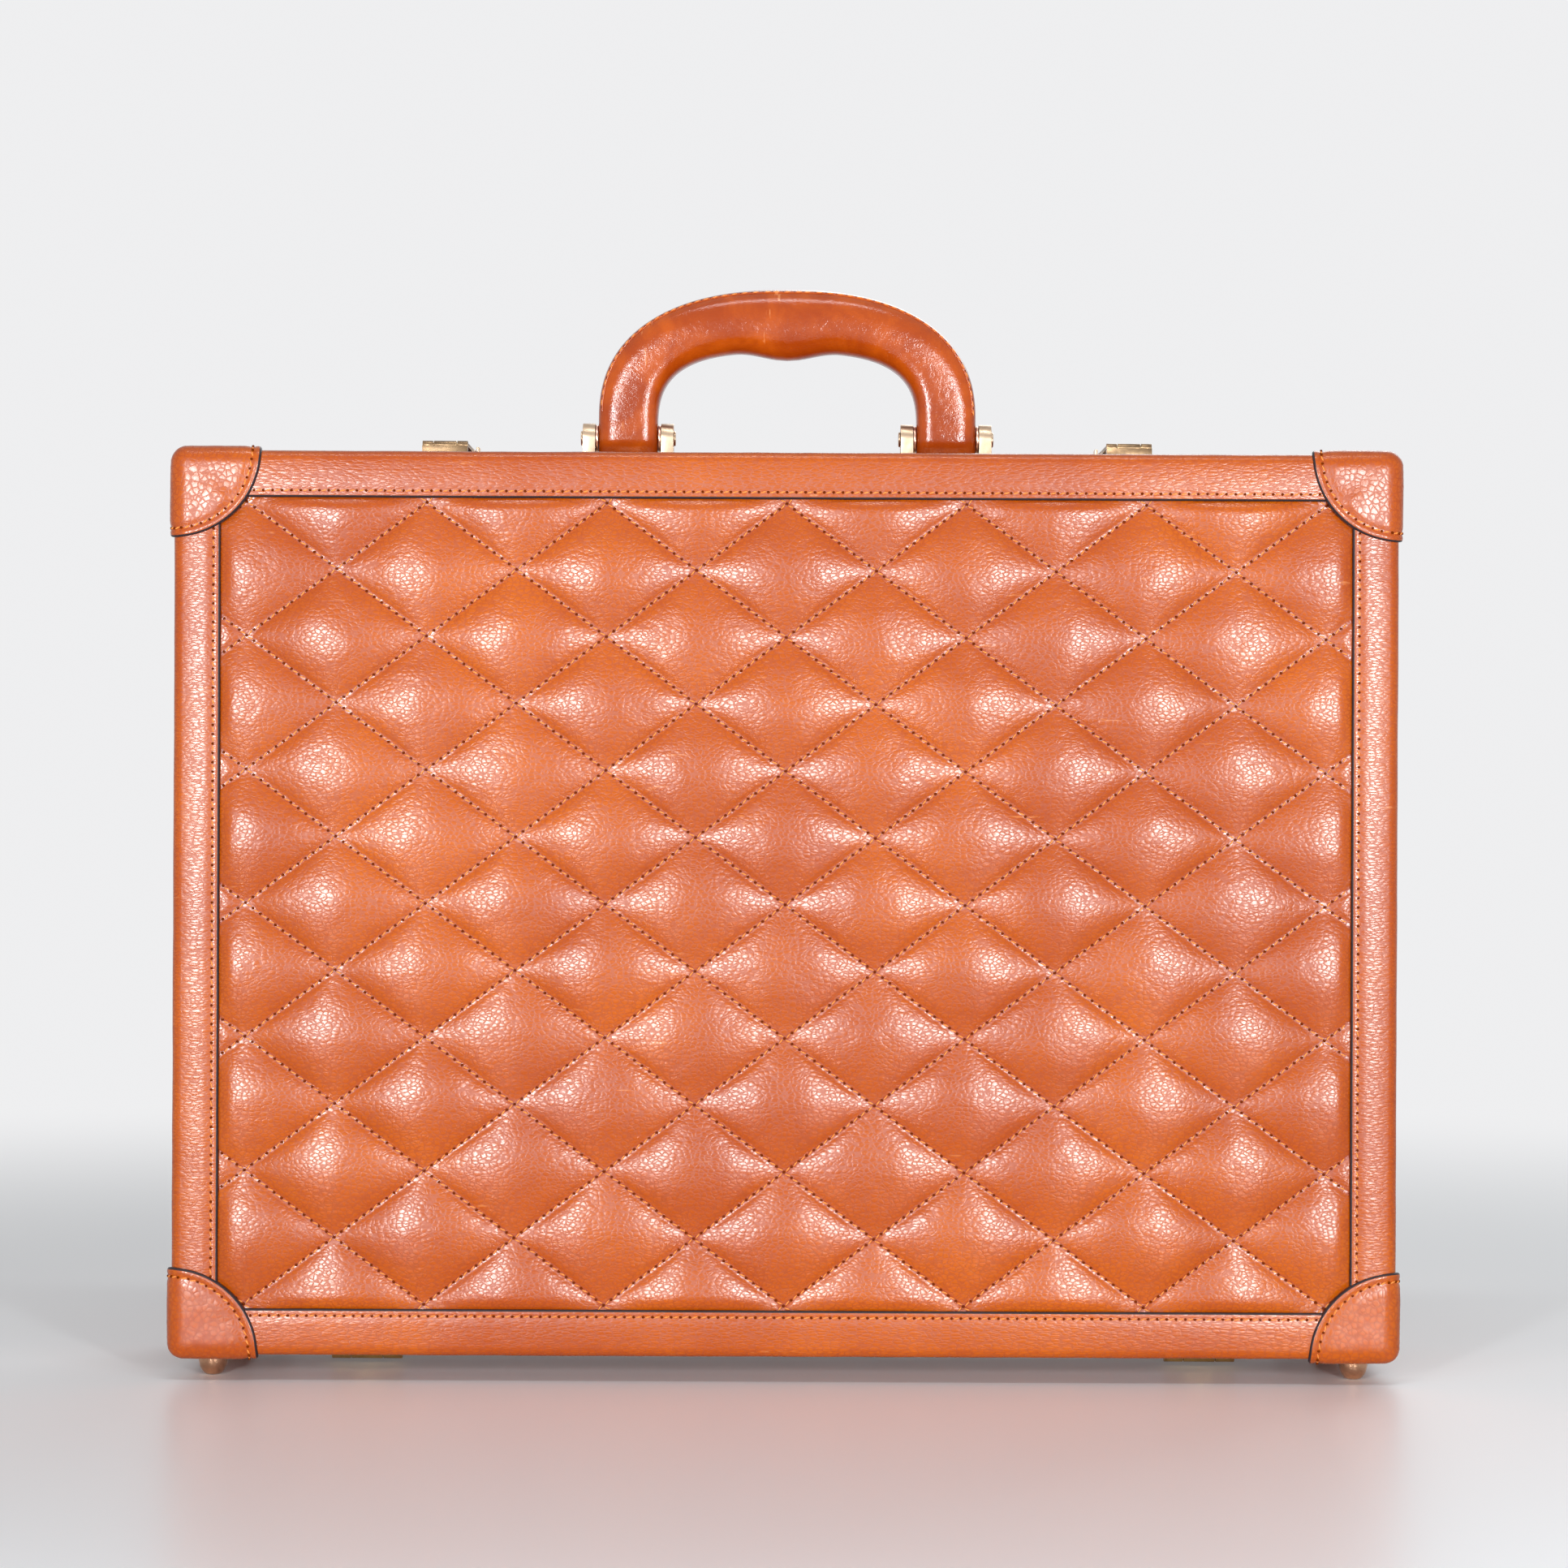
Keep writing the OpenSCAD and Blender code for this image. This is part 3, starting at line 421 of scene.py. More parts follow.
def joined(shapes):
    """One mesh of several, which are freed."""
    whole = bmesh.new()
    scratch = bpy.data.meshes.new("joined")
    for shape in shapes:
        shape.to_mesh(scratch)
        shape.free()
        whole.from_mesh(scratch)
    bpy.data.meshes.remove(scratch)
    return whole


def half_spot(half, x, u, z):
    """A point given on a half's face, as a point of the case."""
    at_y, turn = HALVES[half]
    return Vector((x, at_y + turn * u, mid_z + z))


thread, place, shader = new_material("linen_thread")
twist = place.stretched((1, 1, 1), (0.4, 0.5, 0.7)).cloud(2600, 1)
finish_material(thread, shader, twist.ramp(0.3, 0.7).tint((0.76, 0.21, 0.035, 1),
                                                         (0.90, 0.34, 0.08, 1)),
                0.6, twist * 0.05, Specular_IOR_Level=0.2)
# Each awl hole is a dark disc of painted shade, standing for the shadow inside the hole.
awl_hole_shade, place, shader = new_material("awl_hole_shade")
finish_material(awl_hole_shade, shader, place.cloud(900).tint((0.12, 0.017, 0.001, 1),
                                                        (0.20, 0.030, 0.003, 1)), 1.0,
                Specular_IOR_Level=0.0)
quilt_thread_lift = 0.34 * MM
for half in HALVES:
    rows = []
    up = Vector((0, -HALVES[half][1], 0))
    for way in (1, -1):
        along = Vector((quarter_x, 0, way * quarter_z)).normalized()
        for line in range(-24, 25, 4):
            row = []
            for count in range(-80, 80):
                run = (count + 0.5) * stitch_pitch / seam_step
                x = quarter_x * (run + line) / 2
                z = way * quarter_z * (run - line) / 2
                if abs(x) < window_x - 1 * MM and abs(z) < window_z - 1 * MM:
                    rise = quilt_rise(x, z) + quilt_thread_lift
                    row.append((half_spot(half, x, quilt_seat - rise, z), along, up))
            if row:
                rows.append(row)
    stitched(rows, half + "_quilt_stitches", half)

# Border strips
# Strips of the same leather, glued over the edge of each half, from the quilt round the walls
# to the rim. Their inner edge is rounded and painted black.
strip_leather = orange_leather("strip_leather", (0.7, 1, 2.2), 0.9, 0.2)
edge_paint, place, shader = new_material("edge_paint")
finish_material(edge_paint, shader, place.cloud(300, 3).tint((0.012, 0.008, 0.010, 1),
                                                             (0.035, 0.018, 0.022, 1)),
                0.45, place.cloud(900, 2) * 0.05, Specular_IOR_Level=0.3)
outer_round = 3.6 * MM
rim_round = 1.2 * MM
rim_w = 5.4 * MM
strip_insets = ((2, 0.16, 0), (2.4, 0.12, 0), (3, 0.02, 0), (2.8, -0.06, 0), (0.7, -0.16, 0),
                (0.7, 0.1, 0), (1, -0.06, 0), (0.5, -0.2, 1), (0.3, -0.4, 1))
for half in HALVES:
    low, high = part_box(half + "_border")
    depth = high.y - low.y
    strip = bmesh.new()
    bmesh.ops.create_cube(strip, size=1)
    bmesh.ops.scale(strip, vec=(2 * half_w, depth, 2 * half_h), verts=strip.verts)
    bmesh.ops.translate(strip, vec=(0, depth / 2, 0), verts=strip.verts)
    outer = [e for e in strip.edges if min(v.co.y for v in e.verts) < depth / 2]
    bmesh.ops.bevel(strip, geom=outer, offset=outer_round, segments=6, affect="EDGES",
                    profile=0.5, material=-1)
    rim = [e for e in strip.edges if min(v.co.y for v in e.verts) > depth - 1e-6]
    bmesh.ops.bevel(strip, geom=rim, offset=rim_round, segments=3, affect="EDGES",
                    profile=0.5, material=-1)
    front = min(strip.faces, key=lambda face: face.calc_center_median().y)
    back = max(strip.faces, key=lambda face: face.calc_center_median().y)
    for width, rise, paint in strip_insets:
        made = bmesh.ops.inset_region(strip, faces=[front], thickness=width * MM,
                                      depth=rise * MM, use_even_offset=True)
        for face in made["faces"]:
            face.material_index = paint
    bmesh.ops.inset_region(strip, faces=[back], thickness=rim_w, use_even_offset=True)
    bmesh.ops.delete(strip, geom=[front, back], context="FACES")
    for axis, cuts in ((0, 60), (2, 44), (1, 9)):
        long_edges = [e for e in strip.edges if e.calc_length() > 12 * MM
                      and abs((e.verts[0].co - e.verts[1].co).normalized()[axis]) > 0.99]
        bmesh.ops.subdivide_edges(strip, edges=long_edges, cuts=cuts, use_grid_fill=True)
    strip.normal_update()
    for vert in strip.verts:
        if vert.co.y < depth - 3 * MM:
            wave = noise.noise(vert.co / MM / 16) * 0.12 + noise.noise(vert.co / MM / 5) * 0.04
            vert.co += vert.normal * wave * MM
    into_half(strip, half)
    cover = new_piece(half + "_border_leather", strip, [strip_leather, edge_paint], half,
                      "leather", half + "_border")
    wall = cover.modifiers.new("thickness", "SOLIDIFY")
    wall.thickness = 1.6 * MM
    wall.offset = -1
    wall.use_even_offset = True
    wall.material_offset_rim = 1

# Border stitches
# One row of the same linen thread along each strip, beside its painted edge. The rows are
# sewn before the corner caps go on, and end under them.
row_inset = 14.5 * MM
border_thread_lift = 0.28 * MM
for half in HALVES:
    rows = []
    up = Vector((0, -HALVES[half][1], 0))
    for sign in (-1, 1):
        for along, reach, across in ((Vector((1, 0, 0)), half_w, half_h),
                                     (Vector((0, 0, 1)), half_h, half_w)):
            row = []
            count = int((reach - 26 * MM) / stitch_pitch)
            for step in range(-count, count + 1):
                run = (step + 0.5) * stitch_pitch
                x = run if along.x else sign * (across - row_inset)
                z = run if along.z else sign * (across - row_inset)
                row.append((half_spot(half, x, -border_thread_lift, z), along, up))
            rows.append(row)
    stitched(rows, half + "_border_stitches", half)

# Corner caps
# Quarter-round leather caps stretched over each corner of the face and its two walls, pressed
# in along the seam, with a black painted edge.
corner_r = Vector((4.6, 4.6, 3.8)) * MM
cap_profile = [(0, 1.6), (0.5, 1.6), (1, 1.6), (1.6, 1.6), (2.2, 1.6), (3, 1.6), (3.8, 1.6),
               (5, 1.6), (7, 1.6), (9.5, 1.6), (12, 1.62), (15, 1.65), (18, 1.68), (21, 1.7),
               (23.5, 1.7), (25.5, 1.66), (26.8, 1.52), (27.6, 1.3), (28.3, 1.2), (29, 1.32),
               (29.7, 1.5), (30.3, 1.52), (30.8, 1.44), (31.2, 1.25), (31.42, 0.98),
               (31.5, 0.6), (31.5, 0), (31.5, -1.3), (28, -0.5), (18, -0.4), (9, -0.4),
               (4, -0.4), (2, -0.4), (0, -0.4)]
cap_leather = orange_leather("cap_leather", (1, 1, 1), 0.7, 0.2)


def on_corner(point, axis):
    """Point and outward way on the rounded corner, for a point of one of its three planes."""
    rise = -point[axis]
    flat = point.copy()
    flat[axis] = 0
    inner = Vector([max(flat[i], corner_r[i]) for i in range(3)])
    way = Vector([(flat[i] - inner[i]) / corner_r[i] for i in range(3)]).normalized()
    out = Vector([way[i] / corner_r[i] for i in range(3)]).normalized()
    spot = inner + Vector([way[i] * corner_r[i] for i in range(3)])
    return spot + out * rise, out


corner_planes = ((2, (0, 1, 2)), (0, (1, 2, 0)), (1, (2, 0, 1)))
cap_shape = bmesh.new()
for axis, order in corner_planes:
    fan = bmesh.new()
    chain = [fan.verts.new((run * MM, 0, -rise * MM)) for run, rise in cap_profile]
    edges = [fan.edges.new(pair) for pair in zip(chain, chain[1:])]
    bmesh.ops.spin(fan, geom=chain + edges, cent=(0, 0, 0), axis=(0, 0, 1),
                   angle=math.pi / 2, steps=28)
    for vert in fan.verts:
        turned = Vector((0, 0, 0))
        for source, target in enumerate(order):
            turned[target] = vert.co[source]
        vert.co = on_corner(turned, axis)[0]
    scratch = bpy.data.meshes.new("cap_fan")
    fan.to_mesh(scratch)
    fan.free()
    cap_shape.from_mesh(scratch)
    bpy.data.meshes.remove(scratch)
bmesh.ops.remove_doubles(cap_shape, verts=cap_shape.verts, dist=2e-6)
cap_mesh = bpy.data.meshes.new("cap_shape")
cap_shape.to_mesh(cap_mesh)
cap_shape.free()


def corner_place(half, side_x, side_z):
    """Takes a corner at the origin to one of a half's four, with its walls turned to suit."""
    at_y, turn = HALVES[half]
    return Matrix(((-side_x, 0, 0, side_x * half_w), (0, 0, turn, at_y),
                   (0, -side_z, 0, mid_z + side_z * half_h), (0, 0, 0, 1)))


seam_r = 28.3 * MM
painted_r = 30.9 * MM
pleat_rise = 0.45
pleat_w = 2.6 * MM
cap_stitches = 13
for half in HALVES:
    rows = []
    for side_x, across in ((-1, "left"), (1, "right")):
        for side_z, level in ((-1, "bottom"), (1, "top")):
            place_it = corner_place(half, side_x, side_z)
            cap = bmesh.new()
            cap.from_mesh(cap_mesh)
            bmesh.ops.transform(cap, matrix=place_it, verts=cap.verts)
            bmesh.ops.recalc_face_normals(cap, faces=cap.faces)
            corner = place_it.translation
            pleat = place_it @ (Vector((17.5, 17.5, -1)) * MM) if side_z > 0 else corner
            for face in cap.faces:
                if (face.calc_center_median() - corner).length > painted_r:
                    face.material_index = 1
            cap.normal_update()
            for vert in cap.verts:
                spot = vert.co / MM
                wave = noise.noise(spot / 9) * 0.14 + noise.noise(spot / 3.5) * 0.05
                wave += pleat_rise * math.exp(-((vert.co - pleat).length / pleat_w) ** 2)
                vert.co += vert.normal * wave * MM
            node = f"{half}_cap_{level}_{across}"
            new_piece(node + "_leather", cap, [cap_leather, edge_paint], half, "leather", node)
            for axis, order in corner_planes:
                row = []
                for step in range(cap_stitches):
                    angle = math.pi / 2 * (step + 0.5) / cap_stitches
                    spots = []
                    for turn_by in (-0.02, 0, 0.02):
                        flat = (seam_r * math.cos(angle + turn_by),
                                seam_r * math.sin(angle + turn_by), -1.38 * MM)
                        turned = Vector((0, 0, 0))
                        for source, target in enumerate(order):
                            turned[target] = flat[source]
                        spots.append(on_corner(turned, axis))
                    along = place_it.to_3x3() @ (spots[2][0] - spots[0][0])
                    row.append((place_it @ spots[1][0], along, place_it.to_3x3() @ spots[1][1]))
                rows.append(row)
    stitched(rows, half + "_cap_stitches", half, 0.32 * MM, 0.56 * MM, 18)

# Feet
# Four studs turned from brass, with a domed end. Each is driven into the plywood of the bottom
# wall, through the leather.


def turned_shape(profile, centre, steps=32):
    """A closed shape turned about a vertical axis from (radius, height) in mm."""
    bm = bmesh.new()
    chain = [bm.verts.new((radius * MM, 0, height * MM)) for radius, height in profile]
    edges = [bm.edges.new(pair) for pair in zip(chain, chain[1:])]
    bmesh.ops.spin(bm, geom=chain + edges, cent=(0, 0, 0), axis=(0, 0, 1),
                   angle=math.tau, steps=steps, use_merge=True)
    bmesh.ops.remove_doubles(bm, verts=bm.verts, dist=2e-6)
    bmesh.ops.recalc_face_normals(bm, faces=bm.faces)
    bmesh.ops.translate(bm, vec=centre, verts=bm.verts)
    return bm


def brass(name, bright, dull, rough, wear=0.35):
    """Brass with tarnish in clouds, fine scratches and faint dents."""
    material, place, shader = new_material(name)
    tarnish = place.cloud(130, 4, 0.6, 0.4)
    scratch = place.stretched((1, 1, 9), (0.3, 0.2, 0.5)).cloud(900, 3, 0.7)
    colour = tarnish.ramp(0.35, 0.68).tint(bright, dull)
    surface = rough + wear * 0.3 * tarnish + wear * 0.25 * scratch
    return finish_material(material, shader, colour, surface,
                           scratch * 0.012 + place.cloud(260, 2) * 0.03, Metallic=1.0)


foot_brass = brass("foot_brass", (0.62, 0.36, 0.22, 1), (0.40, 0.21, 0.13, 1), 0.2)
foot_profile = [(0, 0), (1.6, 0.05), (2.6, 0.25), (3.4, 0.8), (4.1, 1.7), (4.7, 2.9), (5.05, 4.2),
                (5.2, 5.2), (5.28, 6.2), (5.3, 7.4), (5.2, 7.5), (0, 7.5)]


def loose_parts(node):
    """Box of each separate solid of a CAD node, as (low, high)."""
    source = bmesh.new()
    source.from_mesh(frame["nodes"][node].data)
    bmesh.ops.remove_doubles(source, verts=source.verts, dist=2e-6)
    left = set(source.verts)
    boxes = []
    while left:
        island = {left.pop()}
        edge_of = list(island)
        while edge_of:
            vert = edge_of.pop()
            for edge in vert.link_edges:
                other = edge.other_vert(vert)
                if other not in island:
                    island.add(other)
                    edge_of.append(other)
        left -= island
        boxes.append((Vector([min(v.co[i] for v in island) for i in range(3)]),
                      Vector([max(v.co[i] for v in island) for i in range(3)])))
    source.free()
    return sorted(boxes, key=lambda pair: tuple(pair[0]))


for half in HALVES:
    feet = [turned_shape(foot_profile, ((low.x + high.x) / 2, (low.y + high.y) / 2, 0), 40)
            for low, high in loose_parts(half + "_feet")]
    new_piece(half + "_feet_turned", joined(feet), [foot_brass], half, "pale_brass",
              half + "_feet")

# Handle leather
# Two leathers sewn edge to edge over a padded core, pulled to an arch. The grip is thicker
# than the legs, and each leg ends in a rounded eye over its pin.
handle_low, handle_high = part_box("handle_leather")
pin_low, pin_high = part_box("handle_pins")
handle_y = (handle_low.y + handle_high.y) / 2
pin_z = (pin_low.z + pin_high.z) / 2
grip_half = 70.9
leg_w = 22.3
leg_end_r = 7.8
grip_half_d = 10.5
arch_foot, arch_top, arch_square = 7.1, 56.1, 2.35
palm_foot, palm_top, palm_square = 2.1, 32.4, 3.1
finger_sag, finger_half_w = 2.9, 20


def signed_power(value, power):
    """A power that keeps the sign, for rounded-square sections."""
    return math.copysign(abs(value) ** power, value)


def grip_ring(turn):
    """Outer point, inner point, half depth and squareness, in mm, at a turn of the arch."""
    if turn < 0 or turn > 180:
        past = math.radians(min(88, (-turn if turn < 0 else turn - 180) * 4.4))
        side = -1 if turn < 0 else 1
        drop = -leg_end_r * math.sin(past)
        return ((side * grip_half, drop), (side * (grip_half - leg_w), drop),
                leg_end_r * math.cos(past), 4)
    c, s = math.cos(math.radians(turn)), abs(math.sin(math.radians(turn)))
    outer = (-grip_half * signed_power(c, 2 / arch_square),
             arch_foot + (arch_top - arch_foot) * s ** (2 / arch_square))
    x = -(grip_half - leg_w) * signed_power(c, 2 / palm_square)
    sag = 0
    if abs(x) < finger_half_w:
        sag = finger_sag * math.cos(math.pi / 2 * x / finger_half_w) ** 2
    inner = (x, palm_foot + (palm_top - palm_foot) * s ** (2 / palm_square) - sag)
    return outer, inner, leg_end_r + (grip_half_d - leg_end_r) * s, 4 - 1.6 * s


def grip_point(turn, angle):
    """A point of the grip at a turn of the arch and an angle round its section."""
    outer, inner, half_d, square = grip_ring(turn)
    c = signed_power(math.cos(angle), 2 / square)
    s = signed_power(math.sin(angle), 2 / square)
    x = (outer[0] + inner[0]) / 2 + (outer[0] - inner[0]) / 2 * c
    z = (outer[1] + inner[1]) / 2 + (outer[1] - inner[1]) / 2 * c
    return Vector((x * MM, handle_y + half_d * s * MM, pin_z + z * MM))


grip_leather, place, shader = new_material("grip_leather")
clouds = place.cloud(60, 4, 0.6, 0.5)
leather_colour = clouds.ramp(0.3, 0.72).tint((0.35, 0.045, 0.002, 1), (0.52, 0.087, 0.003, 1))
worn = place.stretched((4, 1, 1), (0, 0.3, 0)).cloud(45, 4, 0.7).ramp(0.64, 0.70)
leather_colour = (worn * 0.5).tint(leather_colour, (0.82, 0.30, 0.10, 1))
grain = place.cells(1300).ramp(0.0, 0.5)
finish_material(grip_leather, shader, leather_colour, 0.12 + 0.12 * clouds,
                place.cloud(420, 4, 0.62, 0.8) * 0.10 + grain * 0.016,
                Specular_IOR_Level=0.4)
grip = bmesh.new()
ring_sides = 64
bmesh.ops.create_circle(grip, segments=ring_sides, radius=1,
                        matrix=Matrix.Rotation(math.radians(-20), 4, "Y")
                        @ Matrix.Translation((-3, 0, 0)))
bmesh.ops.spin(grip, geom=grip.verts[:] + grip.edges[:], cent=(0, 0, 0), axis=(0, 1, 0),
               angle=math.radians(220), steps=176)
bmesh.ops.holes_fill(grip, edges=[edge for edge in grip.edges if edge.is_boundary])
for vert in grip.verts:
    across = math.hypot(vert.co.x, vert.co.z)
    turn = math.degrees(math.atan2(vert.co.z, -vert.co.x))
    if turn < -100:
        turn += 360
    vert.co = grip_point(turn, math.atan2(vert.co.y, across - 3))
bmesh.ops.recalc_face_normals(grip, faces=grip.faces)
new_piece("handle_grip", grip, [grip_leather], "handle", "leather", "handle_leather")

# Handle seams
# The two leathers meet in a raised seam along the outer edge, front and back. It is closed
# with small stitches of linen thread.
for side, name in ((-1, "front"), (1, "back")):
    row = []
    path = []
    for turn in range(2, 179):
        square = grip_ring(turn)[3]
        path.append(grip_point(turn, side * math.acos(0.88 ** (square / 2))))
    line = bpy.data.curves.new("handle_seam_" + name, "CURVE")
    line.dimensions = "3D"
    line.bevel_depth = 0.5 * MM
    line.bevel_resolution = 2
    spline = line.splines.new("POLY")
    spline.points.add(len(path) - 1)
    for point, spot in zip(spline.points, path):
        point.co = (*spot, 1)
    line.materials.append(grip_leather)
    seam = bpy.data.objects.new("handle_seam_" + name, line)
    bpy.context.scene.collection.objects.link(seam)
    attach(seam, "handle")
    travelled = 0
    for before, after in zip(path, path[1:]):
        step = (after - before).length
        travelled += step
        if travelled > 3 * MM:
            travelled = 0
            out = Vector((0, side, 0))
            out += (after - Vector((0, handle_y, pin_z + 10 * MM))).normalized()
            out.normalize()
            row.append((after + out * 0.42 * MM, after - before, out))
    stitched([row], "handle_stitches_" + name, "handle", 0.26 * MM, 0.3 * MM, 4)

# Handle brackets
# A cast plate with two ears holds each leg of the handle on a riveted pin, with a washer on
# both sides of the leather.


def softened(node, materials, slot, width, segments=2):
    """A CAD node's shape with its edges rounded; the rounding takes the second material, a
    lighter copy of the first painted as an edge highlight.
    """
    shape = bmesh.new()
    shape.from_mesh(frame["nodes"][node].data)
    bmesh.ops.remove_doubles(shape, verts=shape.verts, dist=2e-6)
    bmesh.ops.dissolve_limit(shape, angle_limit=math.radians(1), verts=shape.verts,
                             edges=shape.edges)
    piece = new_piece(node + "_finished", shape, materials, frame["nodes"][node]["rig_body"],
                      slot, node)
    edge = piece.modifiers.new("edges", "BEVEL")
    edge.width = width * MM
    edge.segments = segments
    edge.limit_method = "ANGLE"
    edge.angle_limit = math.radians(32)
    edge.harden_normals = True
    if len(materials) > 1:
        edge.material = 1
    return piece


ear_brass = brass("ear_brass", (0.54, 0.40, 0.28, 1), (0.42, 0.29, 0.19, 1), 0.26)
# The lighter edge brass is a painted highlight on the rounded edges of the ears and pins.
ear_edge_highlight = brass("ear_edge_highlight", (0.68, 0.53, 0.38, 1), (0.56, 0.41, 0.28, 1), 0.2)
washer_brass = brass("washer_brass", (0.80, 0.50, 0.38, 1), (0.62, 0.36, 0.27, 1), 0.22)
for node in ("handle_bracket_left", "handle_bracket_right"):
    softened(node, [ear_brass, ear_edge_highlight], "pale_brass", 0.9, 4)
softened("handle_washers", [washer_brass], "pale_brass", 0.2)
softened("handle_pins", [ear_brass, ear_edge_highlight], "pale_brass", 0.3, 3)

# Screws
# Slotted round-head brass screws hold the brackets, latches and hinges to the plywood. Each is
# turned to its own angle.
screw_brass = brass("screw_brass", (0.60, 0.42, 0.24, 1), (0.38, 0.25, 0.14, 1), 0.26)
head_r = 1.9
head_h = 0.6
slot_w = 0.32
head_profile = [(0, head_h), (0.8, head_h * 0.95), (1.35, head_h * 0.74), (1.7, head_h * 0.42),
                (head_r, 0), (head_r, -0.05), (1.0, -0.1), (1.0, -2), (0, -2)]
for node, up in (("bracket_screws", 1), ("latch_screws", 1), ("hasp_plate_screws", 1),
                 ("base_hinge_screws", -1), ("lid_hinge_screws", -1)):
    heads = []
    for count, (low, high) in enumerate(loose_parts(node)):
        head = turned_shape(head_profile, (0, 0, 0), 24)
        for cut in (-slot_w, -slot_w * 0.85, slot_w * 0.85, slot_w):
            bmesh.ops.bisect_plane(head, geom=head.verts[:] + head.edges[:] + head.faces[:],
                                   dist=1e-7, plane_co=(cut * MM, 0, 0), plane_no=(1, 0, 0))
        for vert in head.verts:
            if abs(vert.co.x) < slot_w * 0.9 * MM and vert.co.z > 0.01 * MM:
                vert.co.z = 0.12 * MM
        seat = high.z - head_h * MM if up > 0 else low.z + head_h * MM
        where = Matrix.Translation(((low.x + high.x) / 2, (low.y + high.y) / 2, seat))
        spin = Matrix.Rotation(1.3 * count + 0.4, 4, "Z")
        flip = Matrix.Rotation(0 if up > 0 else math.pi, 4, "X")
        bmesh.ops.transform(head, matrix=where @ flip @ spin, verts=head.verts)
        heads.append(head)
    screws = new_piece(node + "_slotted", joined(heads), [screw_brass],
                       frame["nodes"][node]["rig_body"], "brass", node)
    screws.data.set_sharp_from_angle(angle=math.radians(40))

# Latches
# Each latch has a hasp on a plate of the lid, a case on the base and a sprung thumb slide. The
# brass has aged to olive brown; its bevelled edges are partly rubbed bright and partly a painted
# highlight.
aged_brass = brass("aged_brass", (0.26, 0.165, 0.09, 1), (0.15, 0.095, 0.055, 1), 0.26)
# The lighter edge brass is partly rubbed wear and partly a painted highlight on the bevels; the
# hasp pins take it all over.
rubbed_edge_and_highlight = brass("rubbed_edge_and_highlight", (0.62, 0.42, 0.22, 1), (0.42, 0.27, 0.15, 1), 0.2)
nib_brass = brass("nib_brass", (0.80, 0.60, 0.42, 1), (0.60, 0.42, 0.28, 1), 0.24)
for side in ("left", "right"):
    softened("hasp_plate_" + side, [aged_brass, rubbed_edge_and_highlight], "brass", 0.3)
    softened("hasp_" + side, [aged_brass, rubbed_edge_and_highlight], "brass", 0.35, 3)
    softened("latch_case_" + side, [aged_brass, rubbed_edge_and_highlight], "brass", 0.25)
    softened("thumb_slide_" + side, [nib_brass], "brass", 0.2)
softened("hasp_pins", [rubbed_edge_and_highlight], "steel", 0.1)

# Slide springs
# A coil of steel wire in each latch case, pressed to its closed length. It pushes the thumb
# slide back.
spring_steel = brass("spring_steel", (0.55, 0.56, 0.58, 1), (0.40, 0.40, 0.42, 1), 0.25)
wire_r = 0.22 * MM
turns = 7
turn_steps = 16
for side in ("left", "right"):
    node = "slide_spring_" + side
    low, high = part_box(node)
    coil = bpy.data.curves.new(node + "_coil", "CURVE")
    coil.dimensions = "3D"
    coil.bevel_depth = wire_r
    coil.bevel_resolution = 2
    spline = coil.splines.new("POLY")
    spline.points.add(turns * turn_steps)
    coil_r = (high.z - low.z) / 2 - wire_r
    for count, point in enumerate(spline.points):
        angle = math.tau * count / turn_steps
        run = low.x + wire_r + (high.x - low.x - 2 * wire_r) * count / (turns * turn_steps)
        point.co = (run, (low.y + high.y) / 2 + coil_r * math.cos(angle),
                    (low.z + high.z) / 2 + coil_r * math.sin(angle), 1)
    coil.materials.append(spring_steel)
    spring = bpy.data.objects.new(node + "_coil", coil)
    bpy.context.scene.collection.objects.link(spring)
    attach(spring, "base")
    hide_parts(node)

# Hinges
# Two butt hinges of polished brass under the case, with three knuckles each on a steel pin.
# Their leaves are screwed to the bottom walls of both halves.
hinge_brass = brass("hinge_brass", (0.80, 0.56, 0.25, 1), (0.62, 0.40, 0.17, 1), 0.16)
# The lighter edge brass is a painted highlight on the rounded edges of the hinges, stays and
# posts.
hinge_edge_highlight = brass("hinge_edge_highlight", (0.90, 0.68, 0.36, 1), (0.75, 0.52, 0.26, 1), 0.16)
for side in ("left", "right"):
    for half in HALVES:
        softened(f"{half}_hinge_{side}", [hinge_brass, hinge_edge_highlight], "brass", 0.3)
softened("hinge_pins", [spring_steel], "steel", 0.2)

# Plywood walls and panels
# Each half is a box of birch plywood: four walls glued and nailed to a face panel. The leather
# and the lining cover all of it.


def dressed(node, material):
    """Gives a CAD node that keeps its shape a new material."""
    slots = frame["nodes"][node].data.materials
    slots.clear()
    slots.append(material)


birch, place, shader = new_material("birch_ply")
grain = place.stretched((1, 1, 14)).cloud(90, 4, 0.6, 0.8)
ply = 1.1 * MM
across_plies = place.axis("Y") * (math.tau / ply)
layers = across_plies.maths("SINE", across_plies)
wood = grain.ramp(0.3, 0.7).tint((0.48, 0.31, 0.16, 1), (0.70, 0.51, 0.31, 1))
finish_material(birch, shader, (layers.ramp(0.2, 0.8) * 0.3).tint(wood, (0.42, 0.26, 0.13, 1)),
                0.55, grain * 0.05)
for node in ("base_frame", "lid_frame", "base_panel", "lid_panel"):
    dressed(node, birch)

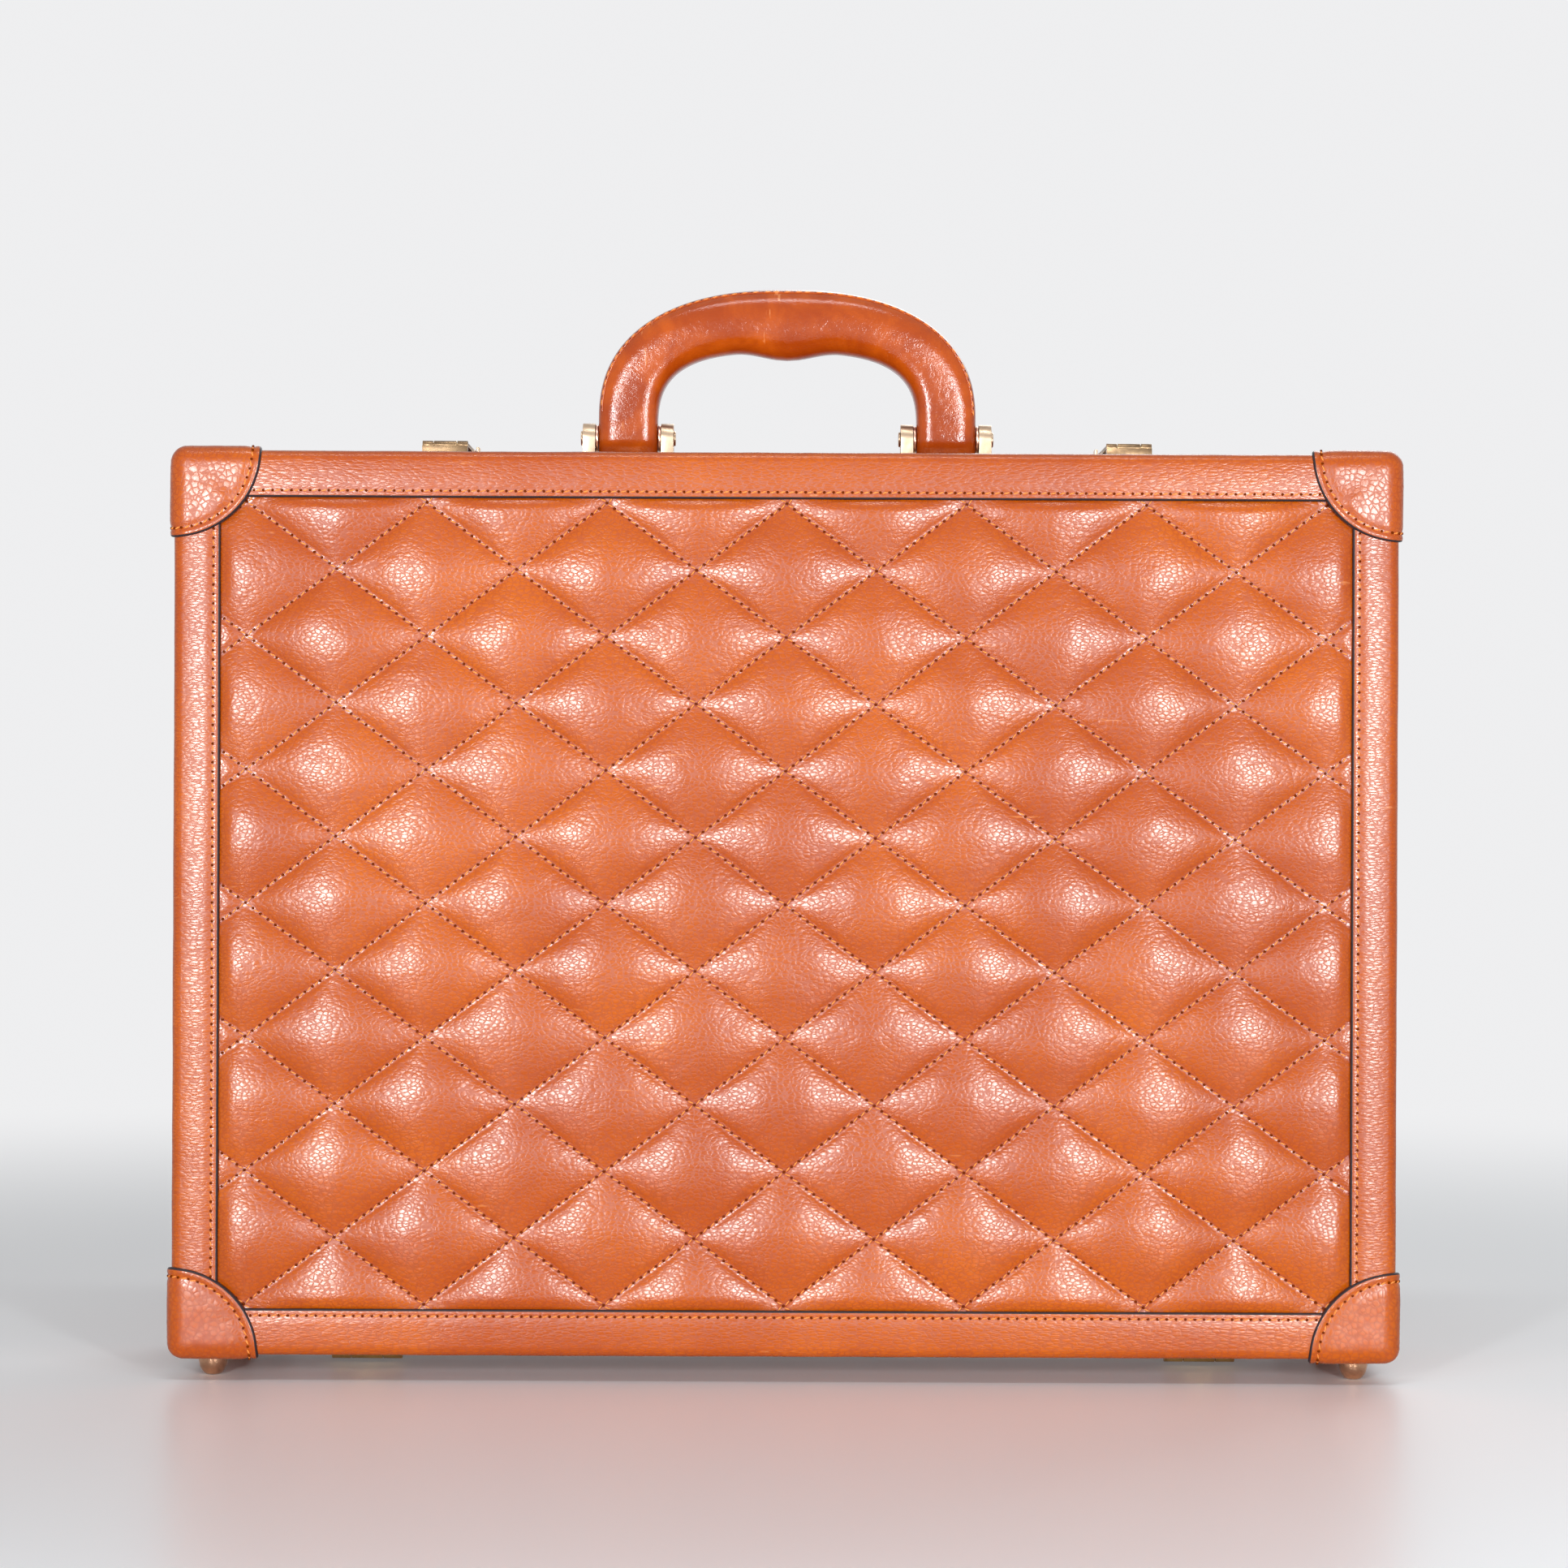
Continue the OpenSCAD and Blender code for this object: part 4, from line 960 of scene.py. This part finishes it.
# Linings
# Sand-coloured suede over thin board, glued to the walls and floor of both halves. Its nap is
# brushed lighter in places.
suede, place, shader = new_material("suede")
nap = place.cloud(900, 4, 0.7)
brushed = place.cloud(22, 3, 0.6, 0.7)
finish_material(suede, shader, brushed.ramp(0.3, 0.7).tint((0.46, 0.29, 0.15, 1),
                                                           (0.53, 0.345, 0.19, 1)),
                0.86 + 0.1 * nap, nap * 0.14, Sheen_Weight=0.35, Sheen_Roughness=0.5)
for half in HALVES:
    softened(half + "_lining", [suede], "suede", 0.5)

# Dust lip
# A strip of stiff brown leather, glued inside the base's walls and standing proud of its
# opening. The lid closes over it and keeps dust out.
brown_leather, place, shader = new_material("brown_leather")
clouds = place.cloud(45, 4, 0.6)
grain = place.cells(700, "DISTANCE_TO_EDGE").ramp(0.0, 0.2)
finish_material(brown_leather, shader, clouds.ramp(0.3, 0.7).tint((0.085, 0.028, 0.012, 1),
                                                                  (0.15, 0.055, 0.025, 1)),
                0.42 + 0.12 * clouds, grain * 0.05 + place.cloud(300, 3) * 0.06,
                Coat_Weight=0.12, Coat_Roughness=0.3)
softened("base_lip", [brown_leather], "dark_leather", 0.5, 3)

# Document pocket
# A flat pocket of the same brown leather, sewn to the lid's lining along three sides. Its
# mouth has a stitched hem.
softened("lid_pocket", [brown_leather], "dark_leather", 0.7, 3)
low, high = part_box("lid_pocket")
rows = []
up = Vector((0, 1, 0))
face = high.y + 0.15 * MM
for along, span, at in (((1, 0, 0), (low.x, high.x), low.z + 4 * MM),
                        ((1, 0, 0), (low.x, high.x), high.z - 5 * MM),
                        ((0, 0, 1), (low.z, high.z), low.x + 4 * MM),
                        ((0, 0, 1), (low.z, high.z), high.x - 4 * MM)):
    row = []
    run = span[0] + 6 * MM
    while run < span[1] - 6 * MM:
        x, z = (run, at) if along[0] else (at, run)
        row.append((Vector((x, face, z)), Vector(along), up))
        run += stitch_pitch
    rows.append(row)
stitched(rows, "lid_pocket_stitches", "lid")

# Lid stays
# Two brass strips on each side, riveted to each other and to posts on the walls. They fold
# with the lid and hold it open.
for side in ("left", "right"):
    softened("stay_arm_" + side, [hinge_brass, hinge_edge_highlight], "brass", 0.25)
    softened("stay_link_" + side, [hinge_brass, hinge_edge_highlight], "brass", 0.25)
for half in HALVES:
    softened(half + "_stay_posts", [hinge_brass, hinge_edge_highlight], "brass", 0.2)

# Handle core
# A steel rod bent to the arch of the grip, inside its padding, with an eye round each pin. It
# carries the load from bracket to bracket.
dressed("handle_core", spring_steel)
